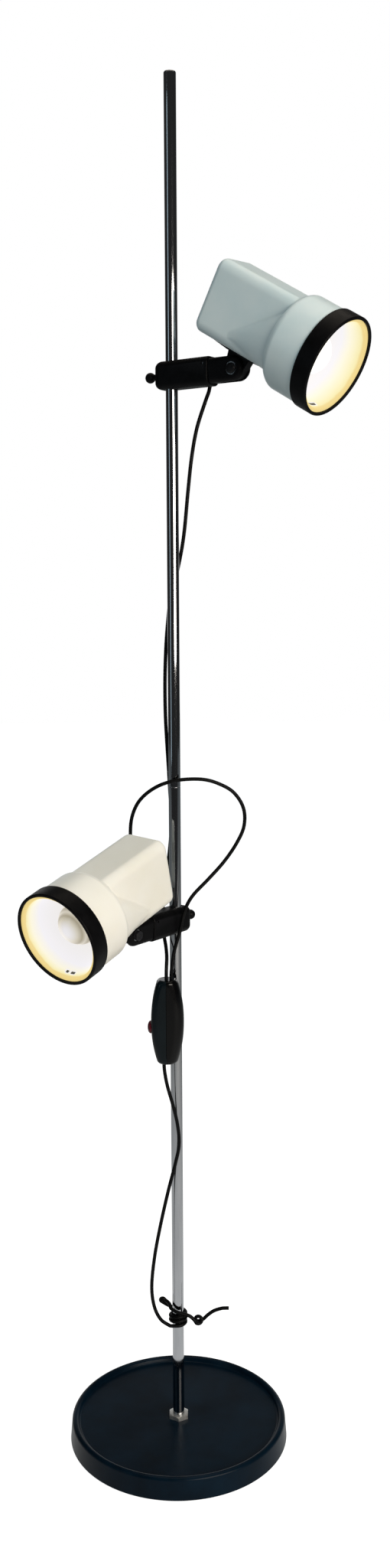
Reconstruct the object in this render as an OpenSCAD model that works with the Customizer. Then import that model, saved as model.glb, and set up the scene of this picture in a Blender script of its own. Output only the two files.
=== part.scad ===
// Two-light floor lamp: a weighted round base, a chromed pole in two sections, and
// two spot heads on black arms that clamp on the pole. Millimetres, +Z up, origin at
// the centre of the base's underside, on the pole's axis. The view that the lamp is
// usually seen from looks along +Y, with +X to the right.

/* [Base] */
// Outer diameter of the base cover at the floor
base_d = 250; // [200:1:320]
// Height of the rim's crest above the floor
base_h = 26; // [20:0.5:40]
// How far the cover's side leans in from the floor to the rim, on the radius
side_draft = 2; // [0:0.5:8]
// Radius of the rounded rim
rim_r = 4; // [2:0.5:6]
// Depth of the flat top below the rim's crest
recess_depth = 5; // [4.5:0.5:10]
// Wall of the base cover
cover_wall = 2.5; // [1.5:0.1:4]
// Gap between the cover's lower edge and the floor
cover_lift = 1.5; // [0.5:0.1:2.5]
// Thickness of the pad under the base
pad_t = 3; // [2.6:0.1:5]
// Play between the weight and the inside of the cover
weight_play = 1.5; // [0.5:0.1:4]

/* [Foot] */
// Distance across the flats of the chromed hex nut on the base
foot_nut_af = 21; // [17:1:30]
// Height of that nut
foot_nut_h = 5; // [3:0.5:12]
// Diameter of the threaded stud through the base
stud_d = 10; // [8:1:10]
// Distance across the flats of the lock nut under the weight
lock_nut_af = 16; // [15:1:20]
// Height of the lock nut
lock_nut_h = 5; // [3:0.5:6]
// Outer diameter of the washer above the lock nut
foot_washer_d = 24; // [20:1:34]
// Thickness of that washer
foot_washer_t = 1.5; // [1:0.1:2]
// Length of stud that grips inside the pole
stud_grip = 40; // [20:1:80]

/* [Pole] */
// Outer diameter of the pole
pole_d = 13; // [12:0.5:16]
// Wall of the pole
pole_wall = 1.2; // [1:0.1:1.5]
// Length of each of the pole's two sections
section_l = 731; // [690:1:800]
// Length of the sleeve inside the joint of the two sections
coupler_l = 60; // [30:1:120]
// Thickness of the top plug's rim
plug_rim_t = 1.5; // [1:0.5:4]
// Depth of the plug inside the pole
plug_l = 12; // [6:1:30]

/* [Clamp] */
// Wall of the plastic liner between the pole and the clamp body
liner_wall = 1; // [0.8:0.1:1.5]
// Height of the clamp body
clamp_h = 29; // [26:0.5:34]
// Width of the clamp body
clamp_w = 24; // [22:0.5:30]
// Reach of the clamp body behind the pole's axis
clamp_back = 17; // [16:0.5:24]
// Reach of the clamp body in front of the pole's axis
clamp_front = 52; // [50:0.5:60]
// Rounding of the clamp body's back end
clamp_back_r = 9; // [4:0.5:12]
// Rounding of its front end, where the arm meets it
clamp_front_r = 2; // [1:0.5:4]
// Rounding of the clamp body's long edges
clamp_edge_r = 7; // [3:0.5:9]
// Diameter of the clamping screw
screw_d = 5; // [4:0.5:6]
// Outer diameter of the brass insert that the screw turns in
insert_d = 8; // [7.5:0.5:10]
// Length of the brass insert
insert_l = 7; // [4:0.5:8]
// Diameter of the round knob
knob_d = 11; // [10:0.5:20]
// Diameter of the knob's neck
knob_neck_d = 7.5; // [7:0.5:10]
// Distance from the pole's axis to the tip of the knob
knob_reach = 33; // [32:0.5:45]
// Distance from the pole's axis to the cord gland in the clamp body's side
gland_x = 34; // [30:0.5:35]
// Diameter of the gland's body inside the clamp
gland_d = 6; // [5.5:0.1:6]
// Outer diameter of the gland's collar
gland_collar_d = 9; // [8:0.5:12]
// How far the gland stands out of the clamp's side
gland_out = 3; // [3:0.5:8]

/* [Arm] */
// Height of the arm
arm_h = 25; // [22:0.5:28]
// Width of the arm
arm_w = 22; // [20:0.5:26]
// Distance from the pole's axis to the tilt bolt
pivot_x = 80; // [79:0.5:92]
// Diameter of the arm's spigot inside the clamp body
spigot_d = 14; // [12:0.5:15]
// Length of that spigot
spigot_l = 12; // [11:0.5:13]
// Width of the groove round the spigot for the keeper pin
groove_w = 3.6; // [3.4:0.1:5]
// Diameter of the keeper pin
pin_d = 3; // [2:0.1:3]
// Width of the slot in the arm's forked end
fork_gap = 11; // [9:0.5:12]
// Depth of the slot behind the tilt bolt
fork_depth = 20; // [19:0.5:21]
// Diameter of the tilt bolt
bolt_d = 6; // [5:0.5:8]
// Diameter of the tilt bolt's head
bolt_head_d = 11; // [9:0.5:12]
// Height of the tilt bolt's head
bolt_head_h = 3; // [2:0.5:5]
// Distance across the flats of the tilt bolt's nut
bolt_nut_af = 10; // [9:0.5:11]
// Height of that nut
bolt_nut_h = 4; // [3:0.5:6]
// Outer diameter of the washers on the tilt bolt
bolt_washer_d = 12.5; // [12:0.5:15]
// Thickness of those washers
bolt_washer_t = 1; // [0.8:0.1:2]
// Depth of the recess for each washer
bolt_recess = 2; // [1:0.5:2.5]

/* [Spot head] */
// Height of the spot head's axis above the tilt bolt
axis_rise = 51; // [51:0.5:60]
// Distance from the tilt bolt to the front of the black ring
front_reach = 106; // [106:0.5:120]
// Outer diameter of the black front ring
ring_d = 102; // [101:0.5:120]
// Length of the ring along the head's axis
ring_l = 19; // [14:0.5:30]
// Diameter of the ring's opening
opening_d = 95; // [90:0.5:95]
// Thickness of the ring's front lip
ring_lip = 2.5; // [1.5:0.1:4]
// Outer diameter of the round front part of the housing
barrel_d = 98; // [96:0.5:98.5]
// Length of the barrel from its round shoulder to its front edge
barrel_l = 56; // [50:0.5:62]
// Radius of the round shoulder at the back of the barrel
shoulder_r = 9; // [4:0.5:11]
// Length of the flares that widen the sides towards the barrel
flare_l = 52; // [44:0.5:56]
// How far the flares stay inside the barrel's round side
flare_step = 3; // [0.5:0.5:4]
// Length of the whole head
head_l = 156; // [150:0.5:158]
// Width of the square back part of the housing
box_w = 57; // [52:0.5:64]
// Height of that back part
box_h = 75; // [71:0.5:75.5]
// How far the back part's middle lies above the head's axis
box_rise = 4; // [4:0.5:6]
// Radius of the back part's long edges
box_edge_r = 11; // [6:0.5:14]
// Radius of its rear edges
box_rear_r = 7; // [3:0.5:8]
// Width of the vent slots in the rear
vent_w = 2.5; // [1.5:0.1:3]
// Height of the vent slots
vent_h = 24; // [16:0.5:30]
// Distance between the vent slots
vent_pitch = 8; // [6:0.5:9]
// Wall of the housing
housing_wall = 2; // [1.5:0.1:3]
// Diameter of the reflector's rear opening
reflector_back_d = 50; // [47:0.5:56]
// Wall of the reflector
reflector_wall = 1; // [0.6:0.1:1.2]
// Diameter of the lamp holder
holder_d = 38; // [34:0.5:38]
// Length of the lamp holder
holder_l = 44; // [36:0.5:46]
// Diameter of the bulb's screw base
cap_d = 26; // [24:0.5:26]
// Diameter of the bulb's glass
bulb_d = 45; // [40:0.5:45]
// Distance from the tilt bolt to the middle of the bulb's glass, along the head
bulb_x = 68; // [66:0.5:72]

/* [Bracket] */
// Width of the bracket under the housing
bracket_w = 24; // [20:0.5:30]
// Reach of the bracket behind the tilt bolt
bracket_back = 30; // [30:0.5:33]
// Reach of the bracket in front of the tilt bolt
bracket_front = 34; // [33:0.5:38]
// Thickness of the bracket at its thin ends
bracket_tip_t = 1.5; // [1:0.1:1.8]
// Thickness of the bracket over the arm
bracket_t = 3; // [2:0.1:3]
// Radius of the bracket's eye round the tilt bolt
eye_r = 11; // [8:0.5:11]
// Diameter of the screws that hold the bracket to the housing
bracket_screw_d = 3.5; // [3:0.1:4]

/* [Pose] */
// Height of the upper lamp's arm above the floor
upper_z = 1190; // [1100:1:1300]
// Direction of the upper lamp's arm, anticlockwise from the right
upper_turn = -34.5; // [-40:0.5:-30]
// Lean of the upper lamp's arm about its own length
upper_swivel = 4; // [-10:0.5:10]
// Tilt of the upper head below the horizontal
upper_tilt = 30.5; // [0:0.5:60]
// Height of the lower lamp's arm above the floor
lower_z = 610; // [600:1:640]
// Direction of the lower lamp's arm, anticlockwise from the right
lower_turn = -126.5; // [-130:0.5:-120]
// Lean of the lower lamp's arm about its own length
lower_swivel = -4; // [-10:0.5:10]
// Tilt of the lower head below the horizontal
lower_tilt = 17.5; // [0:0.5:60]

/* [Switch] */
// Height of the switch case
switch_h = 94; // [80:1:110]
// Width of the case across its middle
switch_w = 36; // [30:0.5:44]
// Width of the case at its ends
switch_end_w = 21; // [16:0.5:28]
// Depth of the case from front to back
switch_t = 25; // [20:0.5:28]
// Rounding of the case's long edges
switch_edge_r = 7; // [4:0.5:9]
// Half length of the hollow for the contacts
switch_hollow = 27; // [24:1:32]
// Wall of the case
switch_wall = 2; // [1.5:0.1:3]
// Diameter of the push button
button_d = 14; // [10:0.5:16]
// How far the push button stands out
button_out = 4; // [3.5:0.5:8]
// Travel of the push button
button_travel = 2.5; // [1:0.5:3]

/* [Cords] */
// Diameter of the round cords
cord_d = 4; // [3.5:0.1:4.2]
// Turns that the mains cord makes round the pole
knot_turns = 2.5; // [1.5, 2.5, 3.5]
// Height of the lowest of those turns above the floor
knot_z = 137; // [130:1:140]

/* [Hidden] */
$fn = 64;

// Colours, as the lamp shows them
black = "#1b1b1d";
chrome = "#c9ccd0";
steel = "#9a9da1";
brass = "#b08d4c";
white = "#eceae2";
red = "#7d1420";

// Clearances
eps = 0.01;
run_gap = 0.06;         // on the radius of what turns or slides on something
snug = 0.05;            // on the radius of what is pressed or screwed together
seat_gap = 0.3;         // between pieces that move past each other

// Base and pole, from the floor up
recess_z = base_h - recess_depth;
cover_under_z = recess_z - cover_wall;
bead_r = base_d / 2 - side_draft - rim_r;
cover_inner_r = base_d / 2 - side_draft - cover_wall;
weight_r = cover_inner_r - weight_play;
foot_pocket_d = foot_washer_d + 4;
foot_pocket_h = foot_washer_t + lock_nut_h + 2;
foot_z = recess_z + foot_nut_h;
joint_z = foot_z + section_l;
pole_top_z = joint_z + section_l;
pole_bore_d = pole_d - 2 * pole_wall;
core_d = pole_bore_d - 2 * snug;

// Clamp and arm, with the arm along X
liner_d = pole_d + 2 * run_gap + 2 * liner_wall;
liner_l = clamp_h - 1;
knob_x = knob_d / 2 - knob_reach;
neck_end_x = -clamp_back - seat_gap;
screw_tip_x = -liner_d / 2 - seat_gap;
wire_bore_d = cord_d + 1.5;
arm_x = clamp_front + seat_gap;
spigot_x = clamp_front - spigot_l;
keeper_x = clamp_front - spigot_l / 2;
groove_d = spigot_d - 3;
keeper_z = groove_d / 2 + seat_gap + pin_d / 2;
washer_y = arm_w / 2 - bolt_recess;
bolt_seat = washer_y + bolt_washer_t;
tongue_w = fork_gap - 0.4;

// Spot head, with its origin at the tilt bolt and its axis along X
box_mid = axis_rise + box_rise;
box_floor = box_mid - box_h / 2;
box_back = front_reach - head_l;
barrel_r = barrel_d / 2;
seat_x = front_reach - ring_lip - reflector_wall;
barrel_x = seat_x - barrel_l;
flare_x = barrel_x - flare_l;
bowl_r = barrel_r - housing_wall - reflector_wall - 0.6;
bowl_x = barrel_x + housing_wall + 2.5;
under_bracket = box_floor - bracket_t;
bracket_hole_x = [6 - bracket_back, bracket_front - 7];
screw_hole_d = bracket_screw_d + 2 * snug;
screw_seat_z = box_floor - bracket_tip_t;
boss_h = 6;
cord_hole_x = -14;
plate_x = 0;
plate_t = 1.5;
holder_x = plate_x + plate_t;
nipple_d = 10;
cap_l = 24;
cap_x = holder_x + holder_l - cap_l + 1;
bulb_tip = 2;

// Lamps: height, turn, swivel, tilt, and the side on which the cord leaves
UPPER = [upper_z, upper_turn, upper_swivel, upper_tilt, 1];
LOWER = [lower_z, lower_turn, lower_swivel, lower_tilt, -1];

// Switch, hung beside the front of the pole, with its parting plane across X
switch_at = [-9, -22.5, 501.5];
split_x = -1.3;
lead_x = [-1, 4.5];
mains_x = -4;
button_z = -7;
button_rim = 1.5;
wall_round = 1;         // what the rounding of the wall takes at the edge of the button's rim
button_rim_x = switch_wall + wall_round + button_rim + seat_gap - switch_w / 2;
contacts_h = 28;
screw_z = switch_h / 2 - 11;
case_screw_d = 3;

// Cords: the jacket ends on a shoulder, and only the wires go on
socket_d = cord_d + 0.2;
socket_l = 4;
wire_d = cord_d - 1;

// Free lengths, from the gland to the switch, and from the switch down to the knot
UPPER_ROUTE = [
    [39, -3.3, 1189.5], [40.3, -1.2, 1183], [38.8, -0.5, 1174], [34.8, -1, 1163],
    [26, -3, 1136], [20.5, -3, 1107], [16.5, 0, 1073], [11.5, 4, 1025],
    [4.5, 9.5, 989], [-3, 10, 962], [-8.5, 7, 904], [-9.5, 5.5, 840],
    [-6, 8.5, 765], [-4, 10, 715], [-8, 11, 668], [-13.5, 10.5, 626],
    [-13.5, 9, 603], [-12.5, 1.5, 590], [-10.5, -9, 581], [-9.5, -17, 571]
];
LOWER_ROUTE = [
    [-35.5, -16, 610.5], [-40, -11, 614], [-44, -3, 622], [-47.5, 5, 640],
    [-49, 8, 665], [-49, 7, 697], [-47.5, 3, 720], [-41, -3, 738],
    [-30, -8, 751], [-14, -12, 761], [6, -12, 766], [31, -9, 766],
    [50, -6, 760], [65, -3, 750], [75, -1, 733], [75.5, 0, 713],
    [67, -2, 694], [53, -4, 674], [36, -9, 656], [20, -13, 640],
    [12, -15, 627], [8, -16.3, 614], [5.5, -17.5, 602], [1, -19, 587],
    [-2, -20, 575]
];
MAINS_ROUTE = [
    [-10, -20.5, 427], [-3.5, -14.5, 400], [1, -11, 377], [2.5, -10, 354],
    [-2, -10, 331], [-10, -11, 300], [-19, -12, 260], [-26, -12, 222],
    [-29.5, -12, 187], [-27, -12, 163], [-20, -11.5, 147], [-11, -10, 139]
];

// ---------- shapes ----------

// Points on an arc round c, from angle a to angle b
function arc(c, r, a, b, n) =
    [for (i = [0:n]) let(t = a + (b - a) * i / n) c + r * [cos(t), sin(t)]];

module ring_of(outer_d, inner_d, h) {
    difference() {
        cylinder(d = outer_d, h = h);
        translate([0, 0, -eps])
            cylinder(d = inner_d, h = h + 2 * eps);
    }
}

module hex_nut(af, bore_d, h) {
    difference() {
        cylinder(d = af / cos(30), h = h, $fn = 6);
        translate([0, 0, -eps])
            cylinder(d = bore_d, h = h + 2 * eps);
    }
}

// A rectangle from x0 to x1, with one corner radius at x0 and another at x1
module bar_outline(x0, x1, w, r0, r1) {
    translate([x0 + r0, -w / 2])
        square([x1 - x0 - r0 - r1, w]);
    translate([x0, r0 - w / 2])
        square([2 * r0, w - 2 * r0]);
    translate([x1 - 2 * r1, r1 - w / 2])
        square([2 * r1, w - 2 * r1]);
    for (s = [-1, 1]) {
        translate([x0 + r0, s * (w / 2 - r0)])
            circle(r0);
        translate([x1 - r1, s * (w / 2 - r1)])
            circle(r1);
    }
}

module rounded_rect(w, h, r) {
    bar_outline(-w / 2, w / 2, h, r, r);
}

// A bar along X: its section is rounded by edge_r, its ends by back_r and front_r
module rounded_bar(x0, x1, w, h, edge_r, back_r, front_r) {
    intersection() {
        translate([x0 - 1, 0, 0])
            rotate([90, 0, 90])
                linear_extrude(x1 - x0 + 2)
                    rounded_rect(w, h, edge_r);
        rotate([90, 0, 0])
            linear_extrude(w + 2, center = true)
                bar_outline(x0, x1, h, back_r, front_r);
        linear_extrude(h + 2, center = true)
            bar_outline(x0, x1, w, back_r, front_r);
    }
}

module along_x(x) {
    translate([x, 0, 0])
        rotate([0, 90, 0])
            children();
}

// Across the arm, from its side at y outwards; s is 1 or -1
module out_of_side(x, y, s) {
    translate([x, s * y, 0])
        rotate([-90 * s, 0, 0])
            children();
}

// ---------- places ----------

module at_clamp(lamp) {
    translate([0, 0, lamp[0]])
        rotate([0, 0, lamp[1]])
            children();
}

module at_arm(lamp) {
    at_clamp(lamp)
        rotate([lamp[2], 0, 0])
            children();
}

module at_head(lamp) {
    at_arm(lamp)
        translate([pivot_x, 0, 0])
            rotate([0, lamp[3], 0])
                children();
}

// Turned on the spot head's axis: the children are drawn as [radius, distance along it]
module turned_on_axis() {
    translate([0, 0, axis_rise])
        rotate([0, 90, 0])
            rotate_extrude()
                children();
}

// ---------- base ----------

module base_cover() {
    rim = arc([bead_r, base_h - rim_r], rim_r, 180, 0, 16);
    color(black)
        rotate_extrude($fn = 128)
            polygon(concat(
                [[stud_d / 2 + snug, recess_z], [bead_r - rim_r, recess_z]],
                rim,
                [
                    [base_d / 2, cover_lift],
                    [base_d / 2 - cover_wall, cover_lift],
                    [cover_inner_r, cover_under_z],
                    [stud_d / 2 + snug, cover_under_z]
                ]
            ));
}

module base_weight() {
    color("#3a3a3c")
        translate([0, 0, pad_t])
            difference() {
                cylinder(r = weight_r, h = cover_under_z - pad_t, $fn = 128);
                translate([0, 0, -eps])
                    cylinder(d = stud_d + 2 * snug, h = base_h);
                translate([0, 0, -eps])
                    cylinder(d = foot_pocket_d, h = foot_pocket_h + eps);
            }
}

module base_pad() {
    color("#26262a")
        cylinder(r = weight_r, h = pad_t, $fn = 128);
}

module foot_nut() {
    color(chrome)
        translate([0, 0, recess_z])
            intersection() {
                hex_nut(foot_nut_af, stud_d + 2 * snug, foot_nut_h);
                cylinder(d1 = foot_nut_af + 2 * foot_nut_h, d2 = foot_nut_af, h = foot_nut_h);
            }
}

module foot_stud() {
    stud_z = pad_t + 1;
    color(steel) {
        translate([0, 0, stud_z])
            cylinder(d = stud_d, h = foot_z - stud_z);
        translate([0, 0, foot_z])
            cylinder(d = core_d, h = stud_grip);
    }
}

module foot_washer() {
    color(steel)
        translate([0, 0, pad_t + foot_pocket_h - foot_washer_t])
            ring_of(foot_washer_d, stud_d + 2 * snug, foot_washer_t);
}

module foot_lock_nut() {
    color(steel)
        translate([0, 0, pad_t + foot_pocket_h - foot_washer_t - lock_nut_h])
            hex_nut(lock_nut_af, stud_d + 2 * snug, lock_nut_h);
}

// ---------- pole ----------

module pole_section(z) {
    color(chrome)
        translate([0, 0, z])
            ring_of(pole_d, pole_bore_d, section_l);
}

module pole_coupler() {
    color(steel)
        translate([0, 0, joint_z - coupler_l / 2])
            cylinder(d = core_d, h = coupler_l);
}

module pole_plug() {
    color(chrome)
        translate([0, 0, pole_top_z]) {
            translate([0, 0, -plug_l])
                cylinder(d = core_d, h = plug_l);
            cylinder(d1 = pole_d, d2 = pole_d - plug_rim_t, h = plug_rim_t);
        }
}

// ---------- clamp ----------

module liner() {
    color("#2c2c30")
        translate([0, 0, -liner_l / 2])
            ring_of(liner_d, pole_d + 2 * run_gap, liner_l);
}

module clamp_body(side) {
    color(black)
        difference() {
            rounded_bar(-clamp_back, clamp_front, clamp_w, clamp_h, clamp_edge_r, clamp_back_r, clamp_front_r);
            cylinder(d = liner_d + 2 * run_gap, h = clamp_h + 2, center = true);
            along_x(-clamp_back - 1)
                cylinder(d = insert_d + 2 * snug, h = 1 + insert_l);
            along_x(-clamp_back)
                cylinder(d = screw_d + 2 * run_gap, h = clamp_back);
            along_x(spigot_x - seat_gap)
                cylinder(d = spigot_d + 2 * run_gap, h = spigot_l + 2);
            along_x(gland_x - wire_bore_d / 2)
                cylinder(d = wire_bore_d, h = spigot_x - gland_x + wire_bore_d);
            out_of_side(gland_x, 0, side)
                cylinder(d = gland_d + 2 * snug, h = clamp_w);
            translate([keeper_x, 0, keeper_z])
                rotate([90, 0, 0])
                    cylinder(d = pin_d + 2 * snug, h = clamp_w + 2, center = true);
        }
}

module clamp_insert() {
    color(brass)
        along_x(-clamp_back)
            ring_of(insert_d, screw_d + 2 * run_gap, insert_l);
}

module arm_pin() {
    color(steel)
        translate([keeper_x, 0, keeper_z])
            rotate([90, 0, 0])
                cylinder(d = pin_d, h = clamp_w - 4, center = true);
}

module cord_gland(side) {
    grip = 4;
    color(black)
        out_of_side(gland_x, clamp_w / 2, side)
            difference() {
                union() {
                    translate([0, 0, -grip])
                        cylinder(d = gland_d, h = grip);
                    cylinder(d1 = gland_collar_d, d2 = gland_d + 0.5, h = gland_out);
                }
                translate([0, 0, -grip - 1])
                    cylinder(d = wire_d, h = grip + gland_out + 2);
                translate([0, 0, gland_out - socket_l])
                    cylinder(d = socket_d, h = socket_l + 1);
            }
}

// A ball on a neck, bored from its middle for the screw
module clamp_knob() {
    meets_at = acos(knob_neck_d / knob_d);
    neck_l = neck_end_x - knob_x;
    bore_r = screw_d / 2 + snug;
    color(black)
        along_x(knob_x)
            rotate_extrude()
                polygon(concat(
                    [[0, 0]],
                    arc([0, 0], knob_d / 2, -90, meets_at, 14),
                    [[knob_neck_d / 2, neck_l], [bore_r, neck_l], [bore_r, 0]]
                ));
}

module clamp_screw() {
    color(steel)
        along_x(knob_x + snug)
            cylinder(d = screw_d, h = screw_tip_x - knob_x - snug);
}

// ---------- arm ----------

module arm_form() {
    end_x = pivot_x + arm_h / 2;
    intersection() {
        translate([arm_x, 0, 0])
            rotate([90, 0, 90])
                linear_extrude(end_x - arm_x + 1)
                    rounded_rect(arm_w, arm_h, 5);
        rotate([90, 0, 0])
            linear_extrude(arm_w + 2, center = true) {
                translate([arm_x, -arm_h / 2])
                    square([pivot_x - arm_x, arm_h]);
                translate([pivot_x, 0])
                    circle(arm_h / 2);
            }
        linear_extrude(arm_h + 2, center = true)
            bar_outline(arm_x, end_x, arm_w, 2, 6);
    }
}

module arm_spigot() {
    difference() {
        along_x(spigot_x)
            cylinder(d = spigot_d, h = arm_x - spigot_x + 1);
        along_x(keeper_x - groove_w / 2)
            ring_of(spigot_d + 2, groove_d, groove_w);
    }
}

module arm() {
    color(black)
        difference() {
            union() {
                arm_form();
                arm_spigot();
            }
            along_x(spigot_x - 1)
                cylinder(d = wire_bore_d, h = pivot_x - spigot_x);
            translate([pivot_x - fork_depth, -fork_gap / 2, -arm_h])
                cube([fork_depth + arm_h, fork_gap, 2 * arm_h]);
            out_of_side(pivot_x, -arm_w, 1)
                cylinder(d = bolt_d + 2 * snug, h = 2 * arm_w);
            for (s = [-1, 1])
                out_of_side(pivot_x, washer_y, s)
                    cylinder(d = bolt_washer_d + 0.5, h = bolt_recess + 1);
        }
}

module tilt_bolt() {
    color(steel)
        out_of_side(pivot_x, bolt_seat, -1)
            difference() {
                union() {
                    translate([0, 0, -2 * bolt_seat - bolt_nut_h])
                        cylinder(d = bolt_d, h = 2 * bolt_seat + bolt_nut_h);
                    cylinder(d1 = bolt_head_d, d2 = bolt_head_d - 2, h = bolt_head_h);
                }
                translate([-bolt_head_d / 2, -0.6, bolt_head_h - 1.2])
                    cube([bolt_head_d, 1.2, 2]);
            }
}

module tilt_washers() {
    color(steel)
        for (s = [-1, 1])
            out_of_side(pivot_x, washer_y, s)
                ring_of(bolt_washer_d, bolt_d + 2 * snug, bolt_washer_t);
}

module tilt_nut() {
    color(steel)
        out_of_side(pivot_x, bolt_seat, 1)
            hex_nut(bolt_nut_af, bolt_d + 2 * snug, bolt_nut_h);
}

// ---------- spot head ----------

module bracket() {
    color(black)
        difference() {
            rotate([90, 0, 0]) {
                linear_extrude(bracket_w, center = true)
                    polygon([
                        [-bracket_back, box_floor],
                        [-bracket_back, box_floor - bracket_tip_t],
                        [-12, under_bracket],
                        [12, under_bracket],
                        [bracket_front, box_floor - bracket_tip_t],
                        [bracket_front, box_floor]
                    ]);
                linear_extrude(tongue_w, center = true) {
                    circle(eye_r);
                    polygon([[-eye_r, 0], [eye_r, 0], [14, under_bracket + 1], [-14, under_bracket + 1]]);
                }
            }
            rotate([90, 0, 0])
                cylinder(d = bolt_d + 2 * run_gap, h = tongue_w + 2, center = true);
            translate([cord_hole_x, 0, 1])
                cylinder(d = wire_bore_d, h = box_floor);
            for (x = bracket_hole_x)
                translate([x, 0, 0]) {
                    cylinder(d = screw_hole_d, h = box_floor + 1);
                    cylinder(d = 2 * bracket_screw_d + 1, h = screw_seat_z);
                }
        }
}

module bracket_screws() {
    color(steel)
        for (x = bracket_hole_x)
            translate([x, 0, screw_seat_z]) {
                cylinder(d = bracket_screw_d, h = box_floor - screw_seat_z + boss_h);
                translate([0, 0, -2])
                    cylinder(d1 = 2 * bracket_screw_d - 1, d2 = 2 * bracket_screw_d, h = 2);
            }
}

// The square back part, drawn in by a margin on every side
module box_form(margin) {
    back = box_back + margin;
    front = barrel_x + shoulder_r;
    w = box_w - 2 * margin;
    h = box_h - 2 * margin;
    r = box_rear_r - margin;
    translate([0, 0, box_mid])
        intersection() {
            translate([back, 0, 0])
                rotate([90, 0, 90])
                    linear_extrude(front - back)
                        rounded_rect(w, h, box_edge_r - margin);
            rotate([90, 0, 0])
                linear_extrude(w + 2, center = true)
                    bar_outline(back, front + 2 * r, h, r, r);
            linear_extrude(h + 2, center = true)
                bar_outline(back, front + 2 * r, w, r, r);
        }
}

// The flares that widen the sides towards the barrel, flat underneath like the box
module flare_form(margin) {
    low = box_floor + margin;
    intersection() {
        hull() {
            translate([flare_x, margin - box_w / 2, low + box_edge_r])
                cube([1, box_w - 2 * margin, 5]);
            translate([barrel_x + shoulder_r, 0, axis_rise])
                rotate([0, 90, 0])
                    cylinder(r = barrel_r - margin - flare_step, h = 1, $fn = 48);
        }
        translate([flare_x, -barrel_r, low])
            cube([2 * barrel_l, 2 * barrel_r, 2 * barrel_r]);
    }
}

module barrel_form(margin, front_x) {
    shoulder = arc([barrel_r - shoulder_r, barrel_x + shoulder_r], shoulder_r - margin, -90, 0, 10);
    turned_on_axis()
        polygon(concat(
            [[0, barrel_x + margin]],
            shoulder,
            [[barrel_r - margin, front_x], [0, front_x]]
        ));
}

module housing() {
    rib = 3;
    color(white)
        difference() {
            union() {
                box_form(0);
                flare_form(0);
                barrel_form(0, seat_x);
            }
            barrel_form(housing_wall, seat_x + 1);
            difference() {
                union() {
                    box_form(housing_wall);
                    flare_form(housing_wall);
                }
                for (z = [box_floor, box_floor + box_h - housing_wall - rib])
                    translate([plate_x - rib, -box_w, z])
                        cube([rib, 2 * box_w, housing_wall + rib]);
                for (x = bracket_hole_x)
                    translate([x, 0, box_floor])
                        cylinder(d = 2 * bracket_screw_d + 1.5, h = housing_wall + boss_h);
            }
            for (x = bracket_hole_x)
                translate([x, 0, box_floor - 1])
                    cylinder(d = screw_hole_d, h = 1.5 + boss_h);
            translate([cord_hole_x, 0, box_floor - 1])
                cylinder(d = wire_bore_d, h = housing_wall + 2);
            for (i = [-2:2])
                translate([box_back - 1, i * vent_pitch - vent_w / 2, box_mid - vent_h / 2])
                    cube([housing_wall + 2, vent_w, vent_h]);
        }
}

module reflector() {
    back_r = reflector_back_d / 2;
    depth = seat_x - bowl_x;
    bowl = [for (i = [0:12]) let(t = i / 12) [back_r + (bowl_r - back_r) * t, bowl_x + depth * t * t]];
    color("#f4f2ea")
        difference() {
            turned_on_axis()
                polygon(concat(
                    bowl,
                    [
                        [bowl_r, seat_x + reflector_wall],
                        [barrel_r, seat_x + reflector_wall],
                        [barrel_r, seat_x],
                        [bowl_r + reflector_wall, seat_x]
                    ],
                    [for (i = [12:-1:0]) bowl[i] + reflector_wall * [1, -1]]
                ));
            for (y = [-4, 4])
                translate([seat_x - 8, y - 2.5, axis_rise - barrel_r])
                    cube([2, 5, 10]);
        }
}

module front_ring() {
    ring_r = ring_d / 2;
    back_x = front_reach - ring_l;
    color(black)
        turned_on_axis()
            polygon([
                [barrel_r + snug, back_x],
                [ring_r - 1, back_x],
                [ring_r, back_x + 1],
                [ring_r, front_reach - 1],
                [ring_r - 1, front_reach],
                [opening_d / 2, front_reach],
                [opening_d / 2, front_reach - ring_lip],
                [barrel_r + snug, front_reach - ring_lip]
            ]);
}

module holder_plate() {
    inset = 2 * (housing_wall + 0.1);
    color(steel)
        difference() {
            translate([plate_x, 0, box_mid])
                rotate([90, 0, 90])
                    linear_extrude(plate_t)
                        rounded_rect(box_w - inset, box_h - inset, box_edge_r - housing_wall);
            translate([plate_x - 1, 0, axis_rise])
                rotate([0, 90, 0])
                    cylinder(d = nipple_d + 2 * snug, h = plate_t + 2);
            translate([plate_x - 1, 0, box_floor + housing_wall])
                rotate([0, 90, 0])
                    cylinder(d = 16, h = plate_t + 2);
        }
}

module lamp_holder() {
    socket_x = cap_x - bulb_tip - holder_x;
    color("#d9d5c6")
        translate([holder_x, 0, axis_rise])
            rotate([0, 90, 0])
                difference() {
                    union() {
                        translate([0, 0, -plate_t - 3])
                            cylinder(d = nipple_d, h = plate_t + 4);
                        cylinder(d1 = holder_d - 8, d2 = holder_d, h = 6);
                        translate([0, 0, 6])
                            cylinder(d = holder_d, h = holder_l - 6);
                    }
                    translate([0, 0, socket_x])
                        cylinder(d = cap_d + 4 * snug, h = holder_l);
                    translate([0, 0, -plate_t - 4])
                        cylinder(d = wire_bore_d, h = socket_x + plate_t + 5);
                }
}

module bulb() {
    neck_x = cap_x + cap_l;
    neck_l = bulb_x - 0.28 * bulb_d - neck_x;
    color("#f6efd8")
        translate([0, 0, axis_rise])
            rotate([0, 90, 0]) {
                translate([0, 0, cap_x - bulb_tip])
                    cylinder(d1 = 10, d2 = cap_d - 6, h = bulb_tip);
                translate([0, 0, cap_x])
                    cylinder(d = cap_d, h = cap_l);
                translate([0, 0, neck_x])
                    cylinder(d1 = cap_d, d2 = 0.82 * bulb_d, h = neck_l);
                translate([0, 0, bulb_x])
                    sphere(d = bulb_d);
            }
}

// ---------- switch ----------

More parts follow.
